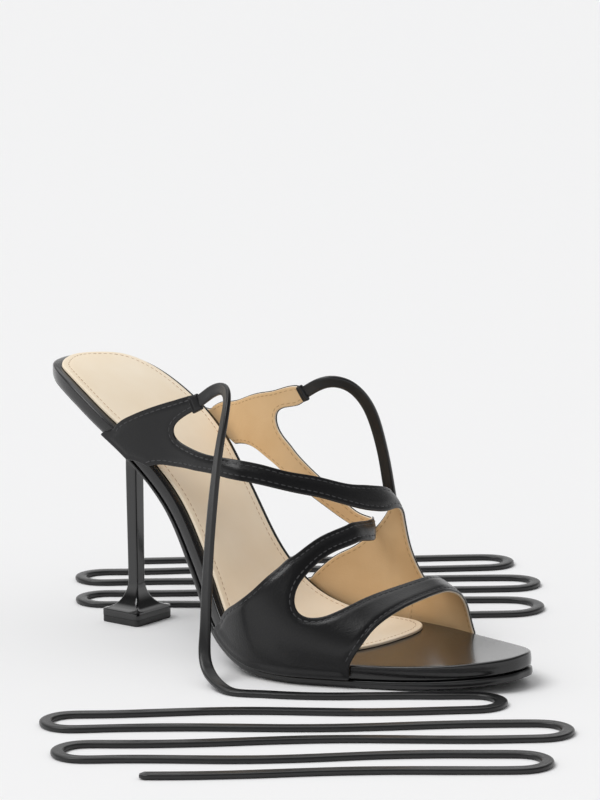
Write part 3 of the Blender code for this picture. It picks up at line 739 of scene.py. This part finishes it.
SOLE_START = BREAST_X + 4.5
sole_loop = evened(plan_loop((lambda x: board_lateral(x) + 0.5, SOLE_START),
                             (lambda x: board_medial(x) - 0.5, SHOE_LENGTH - 0.6)),
                   board_surface(0), 1.0, 0.9)


def sole_surface(depth_part):
    """Between the outsole's top, 0, and its bottom, 1. The tread is flat."""
    def surface(q):
        q = np.asarray(q, float)
        x = q[:, 0]
        nx, nz = board_normal(x)
        thick = SOLE_THICK - 1.5 * np.clip((100.0 - x) / 35.0, 0, 1)
        d = BOARD_THICK + GAP + thick * depth_part
        z = board_top(x) - d * nz
        if depth_part > 0:
            z = np.where((x > 112) & (z < 0.25), 0.0, z)
        return np.stack([x - d * nx, q[:, 1], np.maximum(z, 0.0)], -1)
    return surface


def sole_piece():
    rows = ((0.3, 0.0), (0.0, 0.08), (0.0, 0.5), (0.12, 0.74), (0.42, 0.92), (1.0, 1.0))
    loops = [inward(sole_loop, board_surface(0), r[0]) for r in rows]
    top, bottom = loops[0], loops[-1]
    points, faces, count = [], [], 0
    rings = []
    for loop, r in zip(loops, rows):
        points.append(row(sole_surface(r[1])(loop)))
        rings.append(list(range(count, count + len(loop))))
        count += len(loop)
    for a, b in zip(rings, rings[1:]):
        m = len(a)
        faces += [(a[(i + 1) % m], a[i], b[i], b[(i + 1) % m]) for i in range(m)]
    for loop, ring, part, flip in ((top, rings[0], 0.0, False), (bottom, rings[-1], 1.0, True)):
        xs = np.arange(loop[:, 0].min(), loop[:, 0].max(), 3.0)
        ys = np.arange(loop[:, 1].min(), loop[:, 1].max(), 3.0)
        grid = np.array([(x, y) for x in xs for y in ys])
        grid = grid[inside(grid, inward(loop, board_surface(0), 1.6))]
        verts, tris = filled(np.vstack([loop, grid]), loop_edges([loop]), [loop])
        look = {}
        for i, p in enumerate(loop):
            look[(round(float(p[0]), 4), round(float(p[1]), 4))] = ring[i]
        place, extra = {}, []
        for i, p in enumerate(verts):
            key = (round(float(p[0]), 4), round(float(p[1]), 4))
            if key in look:
                place[i] = look[key]
            else:
                place[i] = count + len(extra)
                extra.append(p)
        if extra:
            points.append(row(sole_surface(part)(np.array(extra))))
            count += len(extra)
        for f in tris:
            a, b, c = verts[f]
            up = (b[0] - a[0]) * (c[1] - a[1]) - (b[1] - a[1]) * (c[0] - a[0]) > 0
            g = [place[int(k)] for k in f]
            if up == flip:
                g.reverse()
            faces.append(tuple(g))
    return new_piece("outsole_black", np.vstack(points), faces, [SOLE])


sole = sole_piece()
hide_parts("outsole")

# ---------------------------------------------------------------- heel
RING = 96


def square_ring(half_long, half_wide, z, power):
    a = 2 * math.pi * (np.arange(RING) + 0.5) / RING
    c, s = np.cos(a), np.sin(a)
    r = 1.0 / (np.abs(c) ** power + np.abs(s) ** power) ** (1 / power)
    return np.stack([HEEL_X - half_long * r * c, HEEL_Y + half_wide * r * s,
                     np.full(RING, z)], -1)


def seat_ring(inset, extra):
    a = 2 * math.pi * (np.arange(RING) + 0.5) / RING
    c, s = np.cos(a), np.sin(a)
    back = HEEL_X - 6.0
    x = np.where(c > 0, 1.6 + (back - 1.6) * (1 - c),
                 back + (BREAST_X - back) * np.minimum(1.0, -c * 1.25))
    edge = np.where(s > 0, board_medial(x) - inset, board_lateral(x) + inset)
    edge = np.where(c < -0.8, edge * np.abs(s) / 0.6, edge)
    nx, nz = board_normal(x)
    d = BOARD_THICK + GAP + extra
    return np.stack([x - d * nx, edge, board_top(x) - d * nz], -1)


def heel_piece():
    seat = seat_ring(1.4, 0.0)
    top = square_ring(STEM_TOP_SIDE / 2, STEM_TOP_SIDE / 2, STEM_TOP_Z, 7.0)
    rings = [seat * 0.97 + top * 0.03, seat]
    rings[0][:, 2] = seat[:, 2]
    for t in np.linspace(0.06, 0.96, 18):
        pull = 1 - (1 - t) ** 1.12
        ring = seat + (top - seat) * pull
        ring[:, 2] = seat[:, 2] + (top[:, 2] - seat[:, 2]) * t
        rings.append(ring)
    rings.append(top)
    for z in np.linspace(59, 17, 15):
        side = STEM_SIDE + (STEM_TOP_SIDE - STEM_SIDE) * (z - FLARE_TOP_Z) / (
            STEM_TOP_Z - FLARE_TOP_Z)
        rings.append(square_ring(side / 2, side / 2, z, 9.0))
    for t in (0.0, 0.1, 0.2, 0.3, 0.4, 0.5, 0.6, 0.7, 0.78, 0.86, 0.92, 0.97, 1.0):
        z = FLARE_TOP_Z + (FLARE_EDGE_Z + 0.25 - FLARE_TOP_Z) * t
        grow = 1 - math.sqrt(max(0.0, 1 - t ** 2.4)) * (1 - 0.12 * t)
        grow *= 0.975
        rings.append(square_ring(STEM_SIDE / 2 + (BASE_LONG - STEM_SIDE) / 2 * grow,
                                 STEM_SIDE / 2 + (BASE_WIDE - STEM_SIDE) / 2 * grow,
                                 z, 9.0 + 9.0 * t))
    for inset, z in ((0.08, FLARE_EDGE_Z - 0.02), (0.0, FLARE_EDGE_Z - 0.3),
                     (0.0, 3.6), (0.0, TIP_THICK + 0.12), (0.2, TIP_THICK + 0.04)):
        rings.append(square_ring(BASE_LONG / 2 - inset, BASE_WIDE / 2 - inset, z, 18.0))
    points = np.vstack(rings)
    faces = []
    for k in range(len(rings) - 1):
        for i in range(RING):
            j = (i + 1) % RING
            a, b = k * RING, (k + 1) * RING
            faces.append((a + i, a + j, b + j, b + i))
    faces.append(tuple(reversed(range(RING))))
    faces.append(tuple(range((len(rings) - 1) * RING, len(rings) * RING)))
    mesh_check = row(points)
    made = new_piece("heel_gloss", mesh_check, faces, [LACQUER], smooth=38)
    bm = bmesh.new()
    bm.from_mesh(made.data)
    bmesh.ops.recalc_face_normals(bm, faces=bm.faces)
    bm.to_mesh(made.data)
    bm.free()
    return made


heel = heel_piece()
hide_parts("heel")


def tip_piece():
    rings = [square_ring(BASE_LONG / 2 - g, BASE_WIDE / 2 - g, z, 18.0)
             for g, z in ((0.5, TIP_THICK), (0.12, TIP_THICK), (0.05, TIP_THICK - 0.2),
                          (0.05, 0.45), (0.15, 0.15), (0.45, 0.0))]
    faces = []
    for k in range(len(rings) - 1):
        for i in range(RING):
            j = (i + 1) % RING
            faces.append((k * RING + i, k * RING + j, (k + 1) * RING + j, (k + 1) * RING + i))
    faces.append(tuple(reversed(range(RING))))
    faces.append(tuple(range((len(rings) - 1) * RING, len(rings) * RING)))
    made = new_piece("top_lift", row(np.vstack(rings)), faces, [RUBBER], smooth=40)
    bm = bmesh.new()
    bm.from_mesh(made.data)
    bmesh.ops.recalc_face_normals(bm, faces=bm.faces)
    bm.to_mesh(made.data)
    bm.free()
    return made


tip = tip_piece()
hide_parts("heel_tip")

# ---------------------------------------------------------------- upper
CROSS = np.array([129.0, float(to_round(118.0))])
LAP = np.array([143.0, float(to_round(170.0))])


def near(q, centre, wide_x, wide_y):
    d = ((q[:, 0] - centre[0]) / wide_x) ** 2 + ((q[:, 1] - centre[1]) / wide_y) ** 2
    return np.exp(-d ** 1.6)


def outer_lift(q):
    q = np.asarray(q, float)
    return 0.85 * near(q, CROSS, 20.0, 30.0) + 0.72 * near(q, LAP, 22.0, 22.0)


def inner_lift(q):
    q = np.asarray(q, float)
    return -0.85 * near(q, CROSS, 20.0, 30.0) - 0.70 * near(q, LAP, 22.0, 22.0)


# With no foot in the shoe the instep strap hangs: how far below the last it is
# at each turn, and the plane it bends back at on the way to the medial side.
HANG = np.array(((60.0, 0.0), (74.0, 0.0), (83.0, 2.1), (88.4, 4.1), (93.8, 6.4),
                 (103.0, 9.6), (112.0, 11.2), (122.0, 11.6), (131.0, 10.2), (136.0, 8.7),
                 (141.0, 7.2), (145.0, 5.6), (150.0, 4.0), (155.0, 3.2), (160.0, 1.8),
                 (168.0, 0.0)))
hang = smooth_through(HANG[:, 0], HANG[:, 1])
BEND_WAY = np.array([0.787, 0.617])
BEND_AT, BEND_SOFT = 116.9, 3.0


def inner_at(q):
    """The last, but for the instep strap, which hangs and bends back sooner."""
    q = np.asarray(q, float)
    x, turn = q[:, 0], to_turn(q[:, 1])
    p = last_point(x, turn)
    part = (ease((150.0 - 12.0 * ease((turn - 110.0) / 30.0) - x) / 4.0)
            * ease((x - 103.0) / 14.0) * ease((turn - 60.0) / 10.0)
            * ease((168.0 - turn) / 8.0))
    along = p[:, :2] @ BEND_WAY
    past = np.maximum(0.0, along - (BEND_AT - BEND_SOFT))
    back = past - BEND_SOFT * np.tanh(past / BEND_SOFT)
    p[:, :2] = p[:, :2] - (back * part)[:, None] * BEND_WAY
    p[:, 2] = p[:, 2] - hang(turn) * part
    return p


strap_profile = ((0.62, 0.0), (0.36, 0.05), (0.14, 0.17), (0.03, 0.34), (0.0, 0.50),
                 (0.0, 0.68), (0.30, 0.70), (0.30, 1.2), (0.40, 1.31), (0.62, 1.34))
strap_picks = [0, 0, 0, 0, 0, 1, 3, 3, 2]
STITCH_IN = 1.7


def padding(loops):
    """Height over the flat sheet: soft towards the edge, sunk along the stitches."""
    line = np.vstack([last_at(loop) for loop in loops])
    tree = KDTree(len(line))
    for i, p in enumerate(line):
        tree.insert(p, i)
    tree.balance()

    def height(q):
        d = np.array([tree.find(p)[2] for p in last_at(q)])
        return 0.40 * ease((d - 0.3) / 3.4) - 0.14 * np.exp(-((d - STITCH_IN) / 0.55) ** 2)
    return height

outer_loops = joined((LATERAL_QUARTER, LONG_STRAP, MEDIAL_PANEL), last_at)
inner_loops = joined((LATERAL_PANEL, TOE_BAND, INSTEP_STRAP, MEDIAL_QUARTER), last_at)
outer = slab("upper_long_strap", outer_loops, last_at, strap_profile, strap_picks,
             [BLACK, EDGE, LINING, RAW], 0.66, lift=outer_lift, bottom_pick=2,
             relief=padding(outer_loops))
inner = slab("upper_toe_and_instep", inner_loops, inner_at, strap_profile, strap_picks,
             [BLACK, EDGE, LINING, RAW], 0.66, lift=inner_lift, bottom_pick=2,
             relief=padding(inner_loops))
for piece in (outer, inner):
    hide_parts("upper")


# ---------------------------------------------------------------- stitches
def capsule():
    """One stitch: a short lens of thread, along x, up z."""
    pts, faces = [], []
    n, m = 6, 5
    for i in range(m):
        a = math.pi * (i + 0.5) / m
        for j in range(n):
            b = 2 * math.pi * j / n
            pts.append((-math.cos(a), math.sin(a) * math.cos(b), math.sin(a) * math.sin(b)))
    for i in range(m - 1):
        for j in range(n):
            k = (j + 1) % n
            faces.append((i * n + j, i * n + k, (i + 1) * n + k, (i + 1) * n + j))
    faces.append(tuple(reversed(range(n))))
    faces.append(tuple(range((m - 1) * n, m * n)))
    return np.array(pts), faces


STITCH, STITCH_FACES = capsule()


def stitches(name, loops, surface, reach, pitch, size, depth, mat, lift=None, wanted=None):
    points, faces, count = [], [], 0
    for loop in loops:
        line = inward(loop, surface, reach)
        ring = np.vstack([line, line[:1]])
        p = surface(ring)
        run = np.r_[0, np.cumsum(np.linalg.norm(np.diff(p, axis=0), axis=1))]
        n = int(run[-1] / pitch)
        s = (np.arange(n) + 0.5) * run[-1] / n
        q = np.stack([np.interp(s, run, ring[:, 0]), np.interp(s, run, ring[:, 1])], -1)
        q2 = np.stack([np.interp((s + 0.3) % run[-1], run, ring[:, 0]),
                       np.interp((s + 0.3) % run[-1], run, ring[:, 1])], -1)
        at, normal, _, _ = frame_at(surface, q)
        ahead = surface(q2) - at
        ahead /= np.maximum(np.linalg.norm(ahead, axis=1), 1e-9)[:, None]
        across = np.cross(normal, ahead)
        up = lift(q) if lift is not None else np.zeros(len(q))
        ok = wanted(q) if wanted is not None else np.ones(len(q), bool)
        for i in np.nonzero(ok)[0]:
            c = at[i] + normal[i] * (up[i] - depth)
            local = (STITCH[:, :1] * size[0] * ahead[i] + STITCH[:, 1:2] * size[1] * across[i]
                     + STITCH[:, 2:] * size[2] * normal[i])
            points.append(row(c + local))
            faces += [tuple(k + count for k in f) for f in STITCH_FACES]
            count += len(STITCH)
    made = new_piece(name, np.vstack(points), faces, [mat])
    bm = bmesh.new()
    bm.from_mesh(made.data)
    bmesh.ops.recalc_face_normals(bm, faces=bm.faces)
    bm.to_mesh(made.data)
    bm.free()
    return made


def above_board(q):
    return (q[:, 1] > LATERAL_EDGE + 1.0) & (q[:, 1] < MEDIAL_EDGE - 1.0)


for name, loops, lift, surface in (("outer", outer_loops, outer_lift, last_at),
                                   ("inner", inner_loops, inner_lift, inner_at)):
    height = padding(loops)
    stitches("stitches_" + name, loops, surface, STITCH_IN, 2.5, (0.98, 0.26, 0.20), -0.05,
             THREAD, lambda q, lift=lift, height=height: lift(q) + height(q), above_board)
    stitches("lining_stitches_" + name, loops, surface, 1.5, 2.4, (0.85, 0.16, 0.09), 1.34,
             TAN_THREAD, lift, above_board)
stitches("sock_stitches", [sock_loop], sock_surface, SEAM_IN, 2.2, (0.8, 0.15, 0.10), 0.07,
         TAN_THREAD)


# ---------------------------------------------------------------- ties
def floor_point(u, v):
    a = math.radians(FLOOR_ANGLE)
    return np.array([FLOOR_ORIGIN[0] + u * math.cos(a) + v * math.sin(a),
                     FLOOR_ORIGIN[1] + u * math.sin(a) - v * math.cos(a), TIE_FLOOR])


def lane_points(landing, lanes):
    out, at = [], landing[0]
    for k, (v, end, wave) in enumerate(lanes):
        n = max(2, round(abs(end - at) / LANE_STEP))
        for i in range(n + 1):
            t = i / n
            drift = (landing[1] - v) * (1 - t) ** 3 if k == 0 else 0.0
            wander = wave * math.sin(math.pi * t) * math.sin(2 * math.pi * t + 0.6 * k)
            out.append((at + (end - at) * t, v + drift + wander))
        if k + 1 < len(lanes):
            middle, r = (v + lanes[k + 1][0]) / 2, (lanes[k + 1][0] - v) / 2
            for a in (30, 60, 90, 120, 150):
                b = math.radians(a)
                out.append((end + math.copysign(abs(r) * math.sin(b), end - at),
                            middle - r * math.cos(b)))
        at = end
    return out


def tie_route(fall, landing, lanes):
    knots = np.array([*fall, *(floor_point(u, v) for u, v in lane_points(landing, lanes))],
                     float)
    fine = []
    for i in range(len(knots) - 1):
        a, b = knots[i], knots[i + 1]
        before = knots[i - 1] if i else a * 2 - b
        after = knots[i + 2] if i + 2 < len(knots) else b * 2 - a
        for k in range(20):
            p = curve_between(before, a, b, after, k / 20)
            p[2] = max(p[2], TIE_FLOOR)
            fine.append(p)
    fine.append(knots[-1])
    fine = np.array(fine)
    run = np.r_[0, np.cumsum(np.linalg.norm(np.diff(fine, axis=0), axis=1))]
    if run[-1] < TIE_LENGTH:
        raise ValueError("the route is shorter than the tie")
    s = np.arange(0, TIE_LENGTH + 1e-6, 1.6)
    line = np.stack([np.interp(s, run, fine[:, k]) for k in range(3)], -1)
    for _ in range(3):
        line[1:-1] = line[1:-1] * 0.5 + (line[:-2] + line[2:]) * 0.25
    return line


def tie_piece(name, fall, landing, lanes, tab, node_name):
    """A flat folded strip: rounded edges, a seam along one side, and a twist
    from standing on edge at the tab to lying flat on the floor."""
    line = tie_route(fall, landing, lanes)
    n = len(line)
    ahead = np.gradient(line, axis=0)
    ahead /= np.linalg.norm(ahead, axis=1)[:, None]
    run = np.r_[0, np.cumsum(np.linalg.norm(np.diff(line, axis=0), axis=1))]
    down = np.clip((line[:, 2] - TIE_FLOOR) / 30.0, 0, 1)
    down = down * down * (3 - 2 * down)
    slim = np.clip((run - 3.5) / 7.0, 0, 1)
    up = np.array(tab[2], float)
    flat = np.cross(np.array([0, 0, 1.0])[None], ahead)
    flat /= np.maximum(np.linalg.norm(flat, axis=1), 1e-6)[:, None]
    wide = np.zeros((n, 3))
    carried = up - ahead[0] * (up @ ahead[0])
    carried /= np.linalg.norm(carried)
    for i in range(n):
        carried = carried - ahead[i] * (carried @ ahead[i])
        carried /= np.linalg.norm(carried)
        goal = flat[i] if flat[i] @ carried >= 0 else -flat[i]
        pull = 0.02 + 0.25 * (1 - down[i])
        carried = carried + (goal - carried) * pull
        carried = carried - ahead[i] * (carried @ ahead[i])
        carried /= np.linalg.norm(carried)
        wide[i] = carried
    thick = np.cross(ahead, wide)
    m = 28
    a = 2 * math.pi * (np.arange(m) + 0.5) / m
    c, s = np.cos(a), np.sin(a)
    half_w, half_t = TIE_WIDE / 2, TIE_THICK / 2
    px = half_w * np.sign(c) * np.abs(c) ** 0.45
    py = half_t * np.sign(s) * np.abs(s) ** 0.62
    crown = 0.10 * (1 - (px / half_w) ** 2)
    py = py + np.sign(py) * crown
    seam = 0.24 * np.exp(-((px - 0.95) / 0.34) ** 2)
    py = np.where(py > 0, py - seam, py)
    points, faces = [], []
    settle = (TIE_FLOOR - half_t - 0.12) * (1 - down)
    for i in range(n):
        ripple = 1 + 0.02 * math.sin(run[i] * 0.21) + 0.015 * math.sin(run[i] * 0.083 + 1.0)
        ease = min(1.0, 0.55 + 0.45 * min(run[i], run[-1] - run[i]) / 1.6)
        centre = line[i] - np.array([0, 0, settle[i]])
        points.append(centre + np.outer(px * ripple * ease, wide[i])
                      + np.outer(py * ease * (0.55 + 0.45 * slim[i]), thick[i]))
    points = np.vstack(points)
    for i in range(n - 1):
        for j in range(m):
            k = (j + 1) % m
            faces.append((i * m + j, i * m + k, (i + 1) * m + k, (i + 1) * m + j))
    faces.append(tuple(reversed(range(m))))
    faces.append(tuple(range((n - 1) * m, n * m)))
    made = new_piece(name, row(points), faces, [TIE_LEATHER, THREAD], smooth=70)
    bm = bmesh.new()
    bm.from_mesh(made.data)
    bmesh.ops.recalc_face_normals(bm, faces=bm.faces)
    bm.to_mesh(made.data)
    bm.free()
    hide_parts(node_name)
    return made


TIE_LEATHER = leather("tie_nappa", (0.0036, 0.0036, 0.0040), (0.0065, 0.0065, 0.0070), 0.34,
                      1700.0, 0.35, coat=0.22, coat_rough=0.22, specular=0.42, crease=0.18)
tie_piece("tie_lateral_leather", TIE_LATERAL_FALL, TIE_LATERAL_LANDING, TIE_LATERAL_LANES,
          TAB_LATERAL, "tie_lateral")
tie_piece("tie_medial_leather", TIE_MEDIAL_FALL, TIE_MEDIAL_LANDING, TIE_MEDIAL_LANES,
          TAB_MEDIAL, "tie_medial")


def tab_fold(name, tab, long, wide, thick, back):
    """The folded end of a tab, closed round the tie."""
    middle, out, along, normal = (np.array(v, float) for v in tab)
    out /= np.linalg.norm(out)
    along = along - out * (along @ out)
    along /= np.linalg.norm(along)
    normal = np.cross(out, along) * (1 if np.cross(out, along) @ normal > 0 else -1)
    centre = middle - out * back - normal * 0.67
    points, faces = [], []
    m, rows = 32, 15
    a = 2 * math.pi * (np.arange(m) + 0.5) / m
    c, s = np.cos(a), np.sin(a)
    px = wide / 2 * np.sign(c) * np.abs(c) ** 0.38
    py = thick / 2 * np.sign(s) * np.abs(s) ** 0.6
    for k in range(rows):
        t = -1 + 2 * k / (rows - 1)
        close = (1 - abs(t) ** 7) ** 0.42 * 0.86 + 0.14
        dent = 1 - 0.22 * math.exp(-((t * long / 2 + long / 2 - 1.3) / 0.3) ** 2)
        points.append(centre + out * (t * long / 2)
                      + np.outer(px * (0.93 + 0.07 * close), along)
                      + np.outer(py * close * dent, normal))
    points = np.vstack(points)
    for k in range(rows - 1):
        for i in range(m):
            j = (i + 1) % m
            faces.append((k * m + i, k * m + j, (k + 1) * m + j, (k + 1) * m + i))
    faces.append(tuple(reversed(range(m))))
    faces.append(tuple(range((rows - 1) * m, rows * m)))
    made = new_piece(name, row(points), faces, [BLACK], smooth=60)
    bm = bmesh.new()
    bm.from_mesh(made.data)
    bmesh.ops.recalc_face_normals(bm, faces=bm.faces)
    bm.to_mesh(made.data)
    bm.free()
    return made


tab_fold("tab_fold_lateral", TAB_LATERAL, 4.6, 6.3, 2.3, 1.7)
tab_fold("tab_fold_medial", TAB_MEDIAL, 2.6, 6.4, 2.3, 0.5)

# ---------------------------------------------------------------- studio
floor_mesh = bpy.data.meshes.new("studio_floor")
floor_mesh.from_pydata([(-9, -9, 0), (9, -9, 0), (9, 9, 0), (-9, 9, 0)], [], [(0, 1, 2, 3)])
floor = bpy.data.objects.new("studio_floor", floor_mesh)
bpy.context.scene.collection.objects.link(floor)
paper, nodes, links, bsdf = shader("pale_paper")
bsdf.inputs["Base Color"].default_value = (0.90, 0.90, 0.905, 1)
bsdf.inputs["Roughness"].default_value = 0.75
bsdf.inputs["Specular IOR Level"].default_value = 0.15
floor_mesh.materials.append(paper)

world = bpy.data.worlds.new("studio")
bpy.context.scene.world = world
world.use_nodes = True
sky, links = world.node_tree.nodes, world.node_tree.links
where = sky.new("ShaderNodeTexCoord")
parts = sky.new("ShaderNodeSeparateXYZ")
links.new(where.outputs["Generated"], parts.inputs["Vector"])
rise = sky.new("ShaderNodeMapRange")
rise.inputs["From Min"].default_value = 0.0
rise.inputs["From Max"].default_value = 1.0
rise.inputs["To Min"].default_value = 0.12
rise.inputs["To Max"].default_value = 0.74
links.new(parts.outputs["Z"], rise.inputs["Value"])
side = sky.new("ShaderNodeVectorMath")
side.operation = "DOT_PRODUCT"
side.inputs[1].default_value = (-0.74, -0.58, 0.34)
links.new(where.outputs["Generated"], side.inputs[0])
glow = sky.new("ShaderNodeMapRange")
glow.inputs["From Min"].default_value = 0.0
glow.inputs["From Max"].default_value = 1.0
glow.inputs["To Min"].default_value = 0.0
glow.inputs["To Max"].default_value = 0.34
links.new(side.outputs["Value"], glow.inputs["Value"])
whole = sky.new("ShaderNodeMath")
whole.operation = "ADD"
links.new(rise.outputs["Result"], whole.inputs[0])
links.new(glow.outputs["Result"], whole.inputs[1])
# What the gloss mirrors: a pale wall all round, and a dark ceiling over it.
wall = sky.new("ShaderNodeMapRange")
wall.interpolation_type = "SMOOTHSTEP"
wall.inputs["From Min"].default_value = 0.10
wall.inputs["From Max"].default_value = 0.52
wall.inputs["To Min"].default_value = 1.05
wall.inputs["To Max"].default_value = 0.13
links.new(parts.outputs["Z"], wall.inputs["Value"])
# And a broad soft box behind the shoe, high up.
aim = sky.new("ShaderNodeVectorMath")
aim.operation = "DOT_PRODUCT"
aim.inputs[1].default_value = (-0.40, 0.34, 0.85)
links.new(where.outputs["Generated"], aim.inputs[0])
box = sky.new("ShaderNodeMapRange")
box.interpolation_type = "SMOOTHSTEP"
box.inputs["From Min"].default_value = 0.82
box.inputs["From Max"].default_value = 0.95
box.inputs["To Min"].default_value = 0.0
box.inputs["To Max"].default_value = 1.15
links.new(aim.outputs["Value"], box.inputs["Value"])
mirrored = sky.new("ShaderNodeMath")
mirrored.operation = "ADD"
links.new(wall.outputs["Result"], mirrored.inputs[0])
links.new(box.outputs["Result"], mirrored.inputs[1])
ray = sky.new("ShaderNodeLightPath")
which = sky.new("ShaderNodeMix")
which.data_type = "FLOAT"
links.new(ray.outputs["Is Glossy Ray"], which.inputs[0])
links.new(whole.outputs["Value"], which.inputs[2])
links.new(mirrored.outputs["Value"], which.inputs[3])
links.new(which.outputs[0], sky["Background"].inputs["Strength"])
sky["Background"].inputs["Color"].default_value = (1.0, 1.0, 1.0, 1)


def far_light(name, towards, strength, spread):
    """A broad light with the same strength all over the floor."""
    light = bpy.data.lights.new(name, "SUN")
    light.energy = strength
    light.angle = math.radians(spread)
    obj = bpy.data.objects.new(name, light)
    obj.rotation_euler = Vector(towards).to_track_quat("-Z", "Y").to_euler()
    bpy.context.scene.collection.objects.link(obj)


far_light("key", (0.35, 0.55, -1.1), 1.35, 34)

camera_data = bpy.data.cameras.new("camera")
camera_data.lens = 157.415
camera_data.sensor_width = 36.0
camera_data.clip_start, camera_data.clip_end = 0.05, 40.0
camera = bpy.data.objects.new("camera", camera_data)
bpy.context.scene.collection.objects.link(camera)
place = np.array((0.78483341, -0.98789592, 0.32675118))
ahead = np.array((-0.60715089, 0.77365367, -0.18118444))
ahead /= np.linalg.norm(ahead)
level = np.cross(ahead, (0.0, 0.0, 1.0))
level /= np.linalg.norm(level)
above = np.cross(level, ahead)
roll = math.radians(-0.512)
right = math.cos(roll) * level + math.sin(roll) * above
above = np.cross(right, ahead)
camera.matrix_world = Matrix([(right[k], above[k], -ahead[k], place[k]) for k in range(3)]
                             + [(0.0, 0.0, 0.0, 1.0)])
bpy.context.scene.camera = camera
bpy.context.scene.view_settings.view_transform = "Standard"

bpy.context.view_layer.update()
